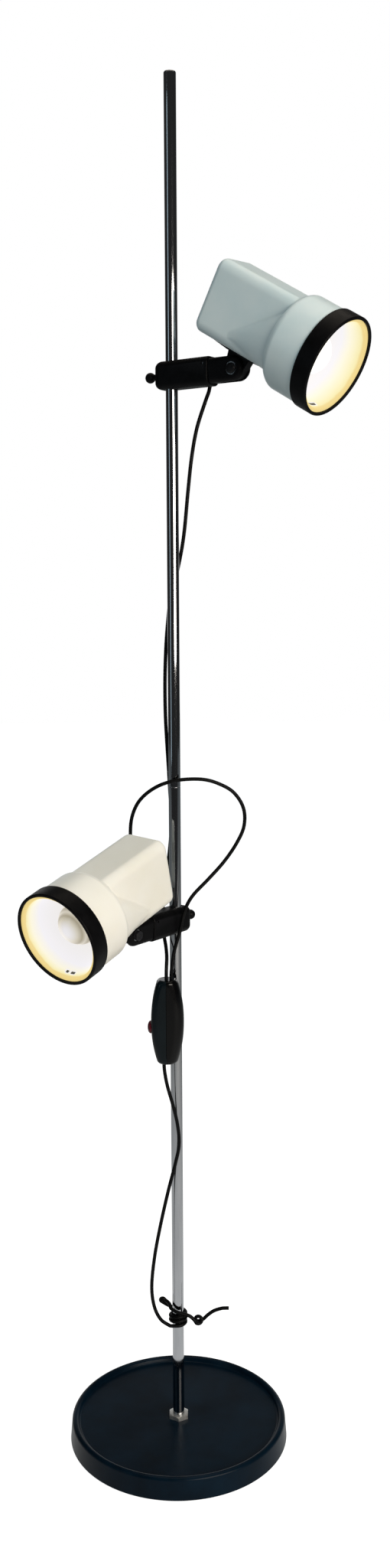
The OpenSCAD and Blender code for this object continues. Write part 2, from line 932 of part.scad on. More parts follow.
// Half the width of the case at a share t of its half height
function case_half(t) = switch_end_w / 2 + (switch_w - switch_end_w) / 2 * (1 - pow(abs(t), 2.2));

module case_form(margin) {
    top = switch_h / 2 - margin;
    steps = 10;
    right = [for (i = [-steps:steps]) [case_half(i / steps) - margin, top * i / steps]];
    left = [for (i = [2 * steps:-1:0]) [-right[i][0], right[i][1]]];
    intersection() {
        rotate([90, 0, 0])
            linear_extrude(switch_t, center = true)
                polygon(concat(right, left));
        linear_extrude(switch_h, center = true)
            rounded_rect(switch_w - 2 * margin, switch_t - 2 * margin, switch_edge_r - margin);
        rotate([90, 0, 90])
            linear_extrude(switch_w, center = true)
                rounded_rect(switch_t - 2 * margin, switch_h - 2 * margin, 4 - margin);
    }
}

// side is -1 for the half with the button and 1 for the half with the screw heads
module switch_half(side) {
    color(black)
        translate(switch_at)
            difference() {
                case_form(0);
                translate([split_x - side * switch_w, 0, 0])
                    cube([2 * switch_w, 2 * switch_t, 2 * switch_h], center = true);
                intersection() {
                    case_form(switch_wall);
                    cube([switch_w, switch_t, 2 * switch_hollow], center = true);
                }
                for (x = lead_x)
                    translate([x, 0, switch_h / 2]) {
                        translate([0, 0, -socket_l])
                            cylinder(d = socket_d, h = socket_l + 1);
                        translate([0, 0, -switch_h / 2])
                            cylinder(d = wire_d, h = switch_h / 2);
                    }
                translate([mains_x, 0, -switch_h / 2]) {
                    translate([0, 0, -1])
                        cylinder(d = socket_d, h = socket_l + 1);
                    cylinder(d = wire_d, h = switch_h / 2);
                }
                translate([-switch_w, 0, button_z])
                    rotate([0, 90, 0])
                        cylinder(d = button_d + 2 * run_gap, h = switch_w);
                for (z = [-screw_z, screw_z])
                    case_screw(z, snug);
            }
}

// One of the two screws that hold the halves together, grown by gap
module case_screw(z, gap) {
    head_x = 10;
    translate([0, 4, z])
        rotate([0, 90, 0]) {
            translate([0, 0, -8])
                cylinder(d = case_screw_d + 2 * gap, h = head_x + 8);
            translate([0, 0, head_x - 2])
                cylinder(d = 2 * case_screw_d + 2 * gap, h = gap > 0 ? switch_w : 2);
        }
}

module switch_screws() {
    color(steel)
        translate(switch_at)
            for (z = [-screw_z, screw_z])
                case_screw(z, 0);
}

module switch_contacts() {
    w = button_rim_x + button_travel;
    color("#c8b68a")
        translate(switch_at)
            translate([w + seat_gap, 0.1 + switch_wall - switch_t / 2, button_z - contacts_h / 2])
                cube([8 - w, switch_t - 2 * switch_wall - 0.2, contacts_h]);
}

module switch_button() {
    face_x = -switch_w / 2 - button_out;
    color(red)
        translate(switch_at)
            translate([0, 0, button_z])
                rotate([0, 90, 0]) {
                    translate([0, 0, face_x])
                        cylinder(d1 = button_d - 3, d2 = button_d, h = 1.5);
                    translate([0, 0, face_x + 1.5])
                        cylinder(d = button_d, h = button_rim_x - face_x - 1.5);
                    translate([0, 0, button_rim_x - button_rim])
                        cylinder(d = button_d + 3, h = button_rim);
                }
}

// ---------- cords ----------

function unit(v) = v / norm(v);

// A tube of diameter d and so many sides, swept along points p; its ends are square
module tube(p, d, sides) {
    last = len(p) - 1;
    ahead = [for (i = [0:last]) unit(p[min(i + 1, last)] - p[max(i - 1, 0)])];
    start = unit(cross(ahead[0], abs(ahead[0][2]) < 0.9 ? [0, 0, 1] : [0, 1, 0]));
    across = [
        for (i = 0, u = start; i <= last; i = i + 1, u = i <= last ? unit(u - (u * ahead[i]) * ahead[i]) : u) u
    ];
    points = [
        for (i = [0:last], j = [0:sides - 1])
            let(a = 360 * j / sides)
                p[i] + d / 2 * (cos(a) * across[i] + sin(a) * cross(ahead[i], across[i]))
    ];
    walls = [
        for (i = [0:last - 1], j = [0:sides - 1])
            let(a = i * sides + j, b = i * sides + (j + 1) % sides)
                each [[a, a + sides, b], [b, a + sides, b + sides]]
    ];
    caps = [
        for (j = [1:sides - 2])
            each [[0, j, j + 1], [last * sides, last * sides + j + 1, last * sides + j]]
    ];
    polyhedron(points, concat(walls, caps));
}

// A point on the smooth curve through p[i-1] .. p[i+2], at a share t of the span from p[i]
function spline(p, i, t) =
    let(a = p[max(i - 1, 0)], b = p[i], c = p[i + 1], d = p[min(i + 2, len(p) - 1)])
        b + t / 2 * ((c - a) + t * ((2 * a - 5 * b + 4 * c - d) + t * (3 * b - a - 3 * c + d)));

function smooth(p, steps) =
    concat([for (i = [0:len(p) - 2], k = [0:steps - 1]) spline(p, i, k / steps)], [p[len(p) - 1]]);

// A point beside the pole, given in the frame of a lamp's clamp
function from_clamp(lamp, x, y) =
    [x * cos(lamp[1]) - y * sin(lamp[1]), x * sin(lamp[1]) + y * cos(lamp[1]), lamp[0]];

// Where a lead starts in its gland and ends in the switch, each with a straight stretch
function lead_start(lamp) = [
    for (y = [clamp_w / 2 + gland_out - socket_l, clamp_w / 2 + gland_out])
        from_clamp(lamp, gland_x, lamp[4] * y)
];
function lead_end(x) = [for (z = [2 * cord_d, -socket_l]) switch_at + [x, 0, switch_h / 2 + z]];

module lead(lamp, route, x) {
    color(black)
        tube(concat(lead_start(lamp), route, lead_end(x)), cord_d, 8);
}

// The mains cord ends at the front of the pole, where the knot starts
wrap_r = pole_d / 2 + cord_d / 2 + seat_gap;
knot_start = [-cord_d, -wrap_r, knot_z];

module mains_lead() {
    exit = switch_at + [mains_x, 0, -switch_h / 2];
    color(black)
        tube(concat(
            [exit + [0, 0, socket_l], exit - [0, 0, 2 * cord_d]],
            MAINS_ROUTE,
            [knot_start - [cord_d, 0, 0], knot_start]
        ), cord_d, 8);
}

// The knot: turns round the pole, a doubled end to the left, then over the front of the
// turns to a small loop and a loose end at the right
knot_pitch = cord_d + 1;
fold_at = [-19, 7, 158.5];
fold_along = unit([-0.84, -0.12, 0.53]);
fold_across = unit([0.5, -0.3, 0.81]);
fold_r = cord_d / 2 + 0.6;
curl_at = [23.5, -9.5, 145];
curl_r = 3.6;
curl_rise = cord_d + 2;

wound = [
    for (a = [0:15:360 * knot_turns])
        [wrap_r * sin(a), -wrap_r * cos(a), knot_z + knot_pitch * a / 360]
];
fold = [
    for (a = [0:20:180])
        fold_at + fold_r * (sin(a) * fold_along + (1 - cos(a)) * fold_across)
];
curl = [
    for (a = [180:15:645])
        curl_at + [curl_r * cos(a), curl_rise * (a - 412) / 360, curl_r * sin(a)]
];
to_fold = [wound[len(wound) - 1], [-7, 9, 150.8], [-13, 8.2, 154], fold[0]];
to_curl = [
    fold[len(fold) - 1], [-14.5, 5, 161], [-10, 0, 159.5], [-8, -7, 157.5],
    [-1, -11, 155], [7, -12, 153], [14, -12.5, 150.5], curl[0]
];
loose_end = [
    curl[len(curl) - 1], [28.5, -5.3, 143], [34, -6.5, 149], [41, -7.5, 154.5],
    [49, -8, 157.5], [54, -8, 158], [58, -8, 158]
];

// A run between two pieces of the knot, without its first and last point
function between(p, steps) = let(q = smooth(p, steps)) [for (i = [1:len(q) - 2]) q[i]];

knot_path = concat(
    [knot_start], wound, between(to_fold, 4), fold, between(to_curl, 5), curl, between(loose_end, 3),
    [loose_end[len(loose_end) - 1]]
);

// Least gap between stretches of the knot that lie more than two diameters apart along it
knot_along = [
    for (i = 0, s = 0; i < len(knot_path); i = i + 1, s = i < len(knot_path) ? s + norm(knot_path[i] - knot_path[i - 1]) : s) s
];
knot_gap = min([
    for (i = [0:len(knot_path) - 1], j = [i + 1:len(knot_path) - 1])
        if (knot_along[j] - knot_along[i] > 2 * cord_d) norm(knot_path[i] - knot_path[j])
]) - cord_d;
echo(least_gap_in_knot = knot_gap);

module mains_knot() {
    color(black)
        tube(knot_path, cord_d, 6);
}

// ---------- the lamp ----------

module whole_lamp(name, lamp) {
    side = lamp[4];
    at_clamp(lamp) liner();
    at_clamp(lamp) clamp_body(side);
    at_clamp(lamp) clamp_insert();
    at_clamp(lamp) arm_pin();
    at_clamp(lamp) cord_gland(side);
    at_clamp(lamp) clamp_knob();
    at_clamp(lamp) clamp_screw();
    at_arm(lamp) arm();
    at_arm(lamp) tilt_bolt();
    at_arm(lamp) tilt_washers();
    at_arm(lamp) tilt_nut();
    at_head(lamp) bracket();
    at_head(lamp) bracket_screws();
    at_head(lamp) housing();
    at_head(lamp) reflector();
    at_head(lamp) front_ring();
    at_head(lamp) holder_plate();
    at_head(lamp) lamp_holder();
    at_head(lamp) bulb();
}

whole_lamp("upper", UPPER);
whole_lamp("lower", LOWER);
base_cover();
base_weight();
base_pad();
foot_nut();
foot_stud();
foot_washer();
foot_lock_nut();
pole_section(foot_z);  // pole_lower
pole_coupler();
pole_section(joint_z);  // pole_upper
pole_plug();
switch_half(-1);  // switch_left_half
switch_half(1);  // switch_right_half
switch_contacts();
switch_screws();
switch_button();
lead(UPPER, UPPER_ROUTE, lead_x[0]);  // upper_lead
lead(LOWER, LOWER_ROUTE, lead_x[1]);  // lower_lead
mains_lead();
mains_knot();
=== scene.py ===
import math

import bmesh
import bpy
import numpy as np
from mathutils import Matrix, Vector


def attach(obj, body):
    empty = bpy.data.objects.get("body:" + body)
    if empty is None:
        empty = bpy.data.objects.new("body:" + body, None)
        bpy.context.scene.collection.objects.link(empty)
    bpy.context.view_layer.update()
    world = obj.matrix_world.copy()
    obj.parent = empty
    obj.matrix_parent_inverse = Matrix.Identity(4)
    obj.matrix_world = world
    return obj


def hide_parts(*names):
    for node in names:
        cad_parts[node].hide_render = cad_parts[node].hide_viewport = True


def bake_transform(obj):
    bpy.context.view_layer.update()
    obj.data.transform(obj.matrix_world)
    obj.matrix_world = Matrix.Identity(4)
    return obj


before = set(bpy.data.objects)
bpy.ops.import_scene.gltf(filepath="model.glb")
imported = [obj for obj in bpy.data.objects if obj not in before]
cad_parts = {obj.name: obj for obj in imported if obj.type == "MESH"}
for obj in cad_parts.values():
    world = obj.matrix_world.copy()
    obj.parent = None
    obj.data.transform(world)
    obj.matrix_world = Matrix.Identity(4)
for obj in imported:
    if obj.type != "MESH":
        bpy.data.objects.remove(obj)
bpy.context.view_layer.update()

# Two-light floor lamp. Sizes are in millimetres in the dictionaries and in metres in Blender.
mm = 0.001
print("frame loaded:", len(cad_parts), "nodes")


photoCamera = {
    "place": (22.3, -1483, 963),
    "pitch": -7.8,            # degrees above the horizon
    "roll": -0.275,           # degrees, the right side down
    "focalPixels": 1800,      # focal length in pixels of the photograph
    "photoSize": (510, 2048),
    "sensor": 36,
}


def makeCamera(s):
    lens = bpy.data.cameras.new("photoCamera")
    lens.sensor_width = s["sensor"]
    lens.lens = s["sensor"] * s["focalPixels"] / max(s["photoSize"])
    lens.clip_start = 0.02
    lens.clip_end = 60
    camera = bpy.data.objects.new("photoCamera", lens)
    bpy.context.scene.collection.objects.link(camera)
    camera.matrix_world = (
        Matrix.Translation(Vector(s["place"]) * mm)
        @ Matrix.Rotation(math.radians(90 + s["pitch"]), 4, "X")
        @ Matrix.Rotation(math.radians(s["roll"]), 4, "Z")
    )
    bpy.context.scene.camera = camera


makeCamera(photoCamera)


def addNode(tree, kind, settings=None, inputs=None):
    node = tree.nodes.new(kind)
    for key, value in (settings or {}).items():
        setattr(node, key, value)
    for key, value in (inputs or {}).items():
        if isinstance(value, bpy.types.NodeSocket):
            tree.links.new(value, node.inputs[key])
        else:
            node.inputs[key].default_value = value
    return node


def paint(code):
    # an sRGB hex value as a linear colour
    parts = [int(code[i:i + 2], 16) / 255 for i in (1, 3, 5)]
    return [c / 12.92 if c <= 0.04045 else ((c + 0.055) / 1.055) ** 2.4 for c in parts] + [1.0]


def perMetre(size):
    # the scale of a pattern whose features are that many millimetres apart
    return 1000 / size


def startLook(name, hexColour, roughness, **constants):
    look = bpy.data.materials.new(name)
    look.use_nodes = True
    tree = look.node_tree
    shader = tree.nodes["Principled BSDF"]
    shader.inputs["Base Color"].default_value = paint(hexColour)
    shader.inputs["Roughness"].default_value = roughness
    for key, value in constants.items():
        shader.inputs[key.replace("_", " ")].default_value = value
    return look, tree, shader


def cloudPattern(tree, size, detail, roughness=0.5, stretch=(1, 1, 1)):
    # soft random patches, that many millimetres apart; a stretch under 1 draws them out along its axis
    spot = addNode(tree, "ShaderNodeTexCoord")
    place = addNode(tree, "ShaderNodeMapping", inputs={"Vector": spot.outputs["Object"], "Scale": stretch})
    cloud = addNode(tree, "ShaderNodeTexNoise", inputs={
        "Vector": place.outputs[0], "Scale": perMetre(size), "Detail": detail, "Roughness": roughness})
    return cloud.outputs["Fac"]


def setStops(ramp, stops):
    # each stop is a place from 0 to 1 and a colour
    elements = ramp.color_ramp.elements
    while len(elements) < len(stops):
        elements.new(0.5)
    for element, (where, code) in zip(elements, stops):
        element.position = where
        element.color = paint(code)


# the values of the cloud pattern between which a surface changes
patches = {"low": 0.3, "high": 0.7}
# how pointed an edge is where its rubbing starts and where it is full, and how much shows then
wear = {"low": 0.53, "high": 0.58, "amount": 0.5}


def mottle(tree, shader, colours, size, stretch=(1, 1, 1)):
    # colour that drifts between two near tones over patches of that size
    ramp = addNode(tree, "ShaderNodeValToRGB", inputs={"Fac": cloudPattern(tree, size, 4, 0.55, stretch)})
    setStops(ramp, list(zip((patches["low"], patches["high"]), colours)))
    tree.links.new(ramp.outputs["Color"], shader.inputs["Base Color"])
    return ramp


def sheenDrift(tree, shader, size, low, high, stretch=(1, 1, 1)):
    # roughness that drifts, as where hands and dust have been
    drift = addNode(tree, "ShaderNodeMapRange", inputs={
        "Value": cloudPattern(tree, size, 5, 0.6, stretch), "From Min": patches["low"],
        "From Max": patches["high"], "To Min": low, "To Max": high})
    tree.links.new(drift.outputs[0], shader.inputs["Roughness"])


def grain(tree, shader, size, depth, detail=2):
    # a fine relief, depth in millimetres
    bump = addNode(tree, "ShaderNodeBump", inputs={
        "Height": cloudPattern(tree, size, detail), "Distance": depth * mm, "Strength": 1.0})
    tree.links.new(bump.outputs["Normal"], shader.inputs["Normal"])


def wornEdges(tree, shader, ramp, code):
    # edges that stand proud are rubbed lighter
    shape = addNode(tree, "ShaderNodeNewGeometry")
    edge = addNode(tree, "ShaderNodeMapRange", inputs={
        "Value": shape.outputs["Pointiness"], "From Min": wear["low"], "From Max": wear["high"],
        "To Min": 0, "To Max": wear["amount"]})
    blend = addNode(tree, "ShaderNodeMix", {"data_type": "RGBA"}, {
        "Factor": edge.outputs[0], 6: ramp.outputs["Color"], 7: paint(code)})
    tree.links.new(blend.outputs[2], shader.inputs["Base Color"])


def plainLook(name, colour, roughness, tones, patch, sheen, relief=None, **constants):
    # two tones that drift over patches, sheen as size, least and most roughness, and relief as size,
    # depth and, where it is rough, detail
    look, tree, shader = startLook(name, colour, roughness, **constants)
    mottle(tree, shader, tones, patch)
    sheenDrift(tree, shader, *sheen)
    if relief:
        grain(tree, shader, *relief)
    return look


def polishedBlackAbs(name, tones):
    # black styrene plastic from a polished mould: deep and glossy, with fine handling marks
    return plainLook(name, tones[0], 0.2, tones, 20, (30, 0.14, 0.2), (8, 0.006), Specular_IOR_Level=0.25)


def mouldedNylon(name, tones):
    # plain moulded nylon, waxy
    return plainLook(name, tones[0], 0.5, tones, 8, (5, 0.42, 0.58), (0.8, 0.015))


def chromedSteel():
    # drawn steel tube, polished and plated: mirror bright, with faint draw lines along the tube
    look, tree, shader = startLook("chromedSteel", "#b2b4b8", 0.1, Metallic=1.0)
    mottle(tree, shader, ("#a9abaf", "#bcbec1"), 9, stretch=(1, 1, 0.1))
    sheenDrift(tree, shader, 40, 0.04, 0.07, stretch=(1, 1, 0.1))
    return look


def mouldedBlackNylon():
    # glass-filled nylon from a spark-eroded mould: black, half matt, its edges rubbed a little grey
    look, tree, shader = startLook("mouldedBlackNylon", "#060607", 0.42, Specular_IOR_Level=0.08)
    ramp = mottle(tree, shader, ("#050506", "#0b0b0d"), 12)
    wornEdges(tree, shader, ramp, "#1f1f22")
    sheenDrift(tree, shader, 14, 0.38, 0.52)
    grain(tree, shader, 0.7, 0.02)
    return look


def mouldedWhiteAbs(name, tones):
    # thick white styrene plastic, moulded with a soft gloss: even, a little yellowed in patches; the tones
    # given for each head also hold painted light and shade
    look, tree, shader = startLook(name, tones[0], 0.34, Subsurface_Weight=0.06, Subsurface_Scale=0.004)
    shader.inputs["Subsurface Radius"].default_value = (1.0, 0.8, 0.6)
    mottle(tree, shader, tones, 55)
    sheenDrift(tree, shader, 25, 0.28, 0.42)
    grain(tree, shader, 1.2, 0.012)
    return look


def paintedLightAlong(tree, shader, stops, strength, waver=0.0):
    # light painted into the surface, coloured by how far along the head a point lies; waver shifts it a
    # little. On the reflector all of it is painted light and shade; on the bulb the lamp's own glow carries
    # painted shade and reflections
    place = addNode(tree, "ShaderNodeAttribute", {"attribute_name": "along"}).outputs["Fac"]
    if waver:
        place = addNode(tree, "ShaderNodeMath", {"operation": "MULTIPLY_ADD"}, {
            0: cloudPattern(tree, 18, 3), 1: waver, 2: place}).outputs[0]
    ramp = addNode(tree, "ShaderNodeValToRGB", inputs={"Fac": place})
    setStops(ramp, stops)
    tree.links.new(ramp.outputs["Color"], shader.inputs["Emission Color"])
    shader.inputs["Emission Strength"].default_value = strength


def paintedGlowEnamel(name, fade):
    # spun aluminium, stove enamelled white; its glare is painted light, a white glow as if from the bulb,
    # turning to a painted warm yellow towards the rim and round the rear opening, and to black at the rear
    # edge as painted shade
    look, tree, shader = startLook(name, "#57554f", 0.5, Specular_IOR_Level=0.2)
    towardsRim = list(zip(fade, ("#f5f3f9", "#fdf8e2", "#fbf3c8", "#f8ecb0")))
    stops = [(0.0, "#050505"), (0.04, "#c9b87e"), (0.12, "#f4f1ee"), *towardsRim, (1.0, "#efd588")]
    paintedLightAlong(tree, shader, stops, 0.9, waver=0.06)
    grain(tree, shader, 1.5, 0.01)
    return look


def opalBulbGlass(name, base, rings, glow):
    # frosted glass over the filament, glowing as the lamp it is; its darker neck is painted shade, and the
    # rings are painted reflections of the reflector
    look, tree, shader = startLook(name, base, 0.25)
    paintedLightAlong(tree, shader, rings, glow)
    sheenDrift(tree, shader, 8, 0.2, 0.3)
    return look


def blackenedSteel():
    # turned steel, hot blackened in oil: nearly black with a dull metal gloss
    look, tree, shader = startLook("blackenedSteel", "#0c0c0e", 0.42, Specular_IOR_Level=0.2)
    ramp = mottle(tree, shader, ("#08080a", "#121214"), 4)
    wornEdges(tree, shader, ramp, "#2c2c30")
    sheenDrift(tree, shader, 3, 0.34, 0.5)
    grain(tree, shader, 0.4, 0.01)
    return look


def pressedFelt():
    # dense black wool felt: no gloss, short fibres
    look, tree, shader = startLook("pressedFelt", "#1c1c1f", 0.95, Sheen_Weight=0.4)
    mottle(tree, shader, ("#17171a", "#26262b"), 1.5, stretch=(1, 1, 3))
    sheenDrift(tree, shader, 2, 0.88, 0.98)
    grain(tree, shader, 0.6, 0.15, detail=6)
    return look


looks = {
    # sheet steel, sprayed and baked: a satin black that mirrors softly, with faint orange peel
    "enamel": plainLook("bakedBlackEnamel", "#03121d", 0.3, ("#020d17", "#061a28"), 45, (60, 0.27, 0.33),
                        (6, 0.004), Specular_IOR_Level=0.08),
    "chrome": chromedSteel(),
    # turned from hexagon bar and plated: the bar's rough grain stays, so it catches light from all sides
    "nut": plainLook("chromedNut", "#dcdddb", 0.45, ("#cfd0cf", "#e6e7e5"), 4, (3, 0.38, 0.55), (0.6, 0.01),
                     Metallic=1.0),
    "nylon": mouldedBlackNylon(),
    "glossAbs": polishedBlackAbs("polishedBlackAbs", ("#020203", "#050506")),
    # the switch's left half: the same black plastic, tinted blue as painted cool shade
    "paintedShadeAbs": polishedBlackAbs("polishedBlackAbsPaintedCoolShade", ("#040c10", "#081318")),
    # one white plastic for both heads: the upper copy is cooled and greyed as painted shade, the lower copy
    # warmed and brightened as painted light
    "upperWhite": mouldedWhiteAbs("mouldedWhiteAbsPaintedShade", ("#c9dadd", "#d8e3e4")),
    "lowerWhite": mouldedWhiteAbs("mouldedWhiteAbsPaintedLight", ("#f2eee2", "#f7f4ec")),
    # the reflectors' glow is painted light: a wide warm band at the upper one's rim, a thin one at the lower
    # one's
    "upperReflector": paintedGlowEnamel("paintedGlowEnamelWide", (0.56, 0.72, 0.86, 0.96)),
    "lowerReflector": paintedGlowEnamel("paintedGlowEnamelThin", (0.68, 0.87, 0.94, 0.98)),
    # the upper bulb's dark neck is painted shade; the lower bulb is a dimmer copy in painted shade, with
    # painted reflection rings
    "upperBulb": opalBulbGlass("opalBulbPaintedNeckShade", "#8d8878", ((0.5, "#b9a878"), (0.68, "#fffdf5")), 1.3),
    "lowerBulb": opalBulbGlass("opalBulbPaintedShadeAndRings", "#3b3830", (
        (0.7, "#8f8772"), (0.74, "#c9c2b0"), (0.775, "#9d947f"), (0.81, "#d6cfbf"), (0.84, "#a89f8a"),
        (0.87, "#d9d2c2"), (0.905, "#f6f4f8")), 0.85),
    # pressed and fired porcelain: cream, with a thin glaze
    "porcelain": plainLook("glazedPorcelain", "#d9d5c6", 0.25, ("#cfcab8", "#e0dccd"), 14, (7, 0.18, 0.34),
                           (2, 0.02)),
    # turned and zinc plated: dull grey metal with fine tool marks
    "zinc": plainLook("zincedSteel", "#9c9fa3", 0.36, ("#8b8e92", "#a9abae"), 5, (3, 0.28, 0.48), (0.4, 0.01),
                      Metallic=1.0),
    "blackened": blackenedSteel(),
    # turned from bar: warm, lightly tarnished
    "brass": plainLook("turnedBrass", "#b08d4c", 0.32, ("#8f6f38", "#b8965a"), 4, (3, 0.25, 0.45),
                       Metallic=1.0),
    # rough grey casting under a thin black wash
    "iron": plainLook("sandCastIron", "#3a3a3c", 0.8, ("#2c2c2e", "#47474a"), 6, (5, 0.7, 0.9),
                      (1.4, 0.25, 5), Metallic=0.5),
    "felt": pressedFelt(),
    "liner": mouldedNylon("naturalNylon", ("#2a2a2e", "#333338")),
    "contacts": mouldedNylon("pressedPhenolic", ("#a8885a", "#c3a87c")),
    # polished moulded acetal: wine red, with a soft gloss
    "red": plainLook("redAcetal", "#5a0e1c", 0.25, ("#4c0b17", "#661223"), 6, (4, 0.2, 0.34), (1, 0.01),
                     Specular_IOR_Level=0.3),
    # soft plasticised jacket, drawn through a die: satin black, and even along its length
    "cord": plainLook("extrudedPvc", "#060607", 0.4, ("#050506", "#0c0c0d"), 10, (6, 0.34, 0.48),
                      (0.9, 0.015), Specular_IOR_Level=0.1),
}
print("materials made:", len(looks))


def makeObject(name, points, faces):
    mesh = bpy.data.meshes.new(name)
    mesh.from_pydata((np.asarray(points, float) * mm).tolist(), [], faces)
    made = bpy.data.objects.new(name, mesh)
    bpy.context.scene.collection.objects.link(made)
    return made


mergeGap = 1e-7      # metres
over = 1      # how far a cutter stands out past the piece, in millimetres


def tidyMesh(obj):
    work = bmesh.new()
    work.from_mesh(obj.data)
    bmesh.ops.remove_doubles(work, verts=work.verts, dist=mergeGap)
    bmesh.ops.recalc_face_normals(work, faces=work.faces)
    work.to_mesh(obj.data)
    work.free()
    return obj


def settle(obj):
    # applies the modifiers
    shown = obj.evaluated_get(bpy.context.evaluated_depsgraph_get())
    mesh = bpy.data.meshes.new_from_object(shown)
    obj.modifiers.clear()
    obj.data = mesh
    return obj


def move(obj, place):
    obj.data.transform(place)
    return obj


def cut(obj, cutters, operation="DIFFERENCE"):
    for cutter in cutters:
        modifier = obj.modifiers.new("cut", "BOOLEAN")
        modifier.operation = operation
        modifier.solver = "EXACT"
        modifier.object = cutter
    settle(obj)
    for cutter in cutters:
        bpy.data.objects.remove(cutter)
    return obj


def bevel(obj, width, segments, angle):
    modifier = obj.modifiers.new("bevel", "BEVEL")
    modifier.width = width * mm
    modifier.segments = segments
    modifier.limit_method = "ANGLE"
    modifier.angle_limit = math.radians(angle)
    return settle(obj)


def dress(obj, look, body, replaces, sharp=35):
    obj.data.materials.clear()
    obj.data.materials.append(looks[look])
    obj.data.shade_smooth()
    if sharp:
        obj.data.set_sharp_from_angle(angle=math.radians(sharp))
        # large flat faces keep their own direction, so that they mirror without a bend
        obj.modifiers.new("weigh", "WEIGHTED_NORMAL").keep_sharp = True
        settle(obj)
    if body:
        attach(obj, body)
    if replaces:
        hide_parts(*replaces)
    return obj


def arc(centre, radius, start, end, steps):
    angles = np.radians(np.linspace(start, end, steps + 1))
    return [[centre[0] + radius * math.cos(a), centre[1] + radius * math.sin(a)] for a in angles]


def roundCorners(points, radius, steps=4):
    # the closed outline with each corner rounded; radius is one number or one for each corner
    count = len(points)
    radii = radius if hasattr(radius, "__len__") else [radius] * count
    out = []
    for i in range(count):
        here, before, after = (np.array(points[k % count], float) for k in (i, i - 1, i + 1))
        a, b = before - here, after - here
        reachA, reachB = np.linalg.norm(a), np.linalg.norm(b)
        a, b = a / reachA, b / reachB
        turn = math.acos(max(-1, min(1, float(a @ b))))
        if radii[i] <= 0 or turn > math.pi - 1e-3:
            out.append(here.tolist())
            continue
        run = min(radii[i] / math.tan(turn / 2), 0.49 * reachA, 0.49 * reachB)
        fit = run * math.tan(turn / 2)
        centre = here + (a + b) / np.linalg.norm(a + b) * fit / math.sin(turn / 2)
        start, end = here + a * run - centre, here + b * run - centre
        sweep = math.atan2(start[0] * end[1] - start[1] * end[0], float(start @ end))
        for k in range(steps + 1):
            t = sweep * k / steps
            out.append([
                centre[0] + start[0] * math.cos(t) - start[1] * math.sin(t),
                centre[1] + start[0] * math.sin(t) + start[1] * math.cos(t),
            ])
    return out


def lathe(name, profile, segments=96, closed=True):
    # profile points are [radius, height], turned about Z; an open profile starts and ends on the axis
    points, rings = [], []
    for radius, height in profile:
        if radius < 1e-6:
            rings.append([len(points)] * segments)
            points.append((0, 0, height))
            continue
        rings.append(list(range(len(points), len(points) + segments)))
        for k in range(segments):
            a = 2 * math.pi * k / segments
            points.append((radius * math.cos(a), radius * math.sin(a), height))
    pairs = list(zip(rings, rings[1:] + rings[:1])) if closed else list(zip(rings, rings[1:]))
    faces = []
    for low, high in pairs:
        for k in range(segments):
            n = (k + 1) % segments
            corners = list(dict.fromkeys([low[k], low[n], high[n], high[k]]))
            if len(corners) > 2:
                faces.append(corners)
    return tidyMesh(makeObject(name, points, faces))


def loft(name, rings):
    # closed rings of equal count, skinned, with a flat face at each end
    rings = np.asarray(rings, float)
    rows, count = rings.shape[:2]
    faces = [list(range(count)), [(rows - 1) * count + k for k in range(count)]]
    for r in range(rows - 1):
        for k in range(count):
            n = (k + 1) % count
            faces.append([r * count + k, r * count + n, (r + 1) * count + n, (r + 1) * count + k])
    return tidyMesh(makeObject(name, rings.reshape(-1, 3), faces))


def prism(name, outline, low, high):
    # the outline [x, z], drawn out along Y from low to high
    return loft(name, [[(x, y, z) for x, z in outline] for y in (low, high)])


def rounded(halfW, halfH, radius, steps=6):
    # a rectangle with round corners, as points about its middle
    radius = max(radius, 0.05)
    out = []
    for sx, sy, start in ((1, 1, 0), (-1, 1, 90), (-1, -1, 180), (1, -1, 270)):
        out += arc((sx * (halfW - radius), sy * (halfH - radius)), radius, start, start + 90, steps)
    return out


def endInset(x, x0, x1, r0, r1):
    # how far the sides draw in at x, on a bar from x0 to x1 with rounded ends
    if x < x0 + r0:
        return r0 - math.sqrt(max(0, r0 ** 2 - (x0 + r0 - x) ** 2))
    if x > x1 - r1:
        return r1 - math.sqrt(max(0, r1 ** 2 - (x - x1 + r1) ** 2))
    return 0


def roundedBar(name, x0, x1, width, height, edge, r0, r1):
    # a bar along X with a rounded section and rounded ends
    steps = 8
    angles = [math.radians(90 * k / steps) for k in range(steps + 1)]
    stations = [x0 + r0 * (1 - math.cos(a)) for a in angles]
    stations += [x1 - r1 + r1 * math.sin(a) for a in angles]
    rings = []
    for x in stations:
        inset = min(endInset(x, x0, x1, r0, r1), edge + 3)
        section = rounded(width / 2 - inset, height / 2 - inset, edge - inset)
        rings.append([(x, y, z) for y, z in section])
    return loft(name, rings)


# these turn what is drawn about Z, so that it lies along X or Y
alongX = Matrix.Rotation(math.radians(90), 4, "Y")
alongY = Matrix.Rotation(math.radians(-90), 4, "X")


def at(x=0, y=0, z=0):
    return Matrix.Translation((x * mm, y * mm, z * mm))


def rod(diameter, length, flare=0.0, segments=64):
    # a cutter along Z, from 0 to length; flare widens both ends, as a chamfered hole needs
    r = diameter / 2
    profile = [(0, 0), (r, 0), (r, length), (0, length)]
    if flare:
        profile = [(0, -over), (r + flare + over, -over), (r, flare), (r, length - flare),
                   (r + flare + over, length + over), (0, length + over)]
    return lathe("rod", profile, segments, closed=False)


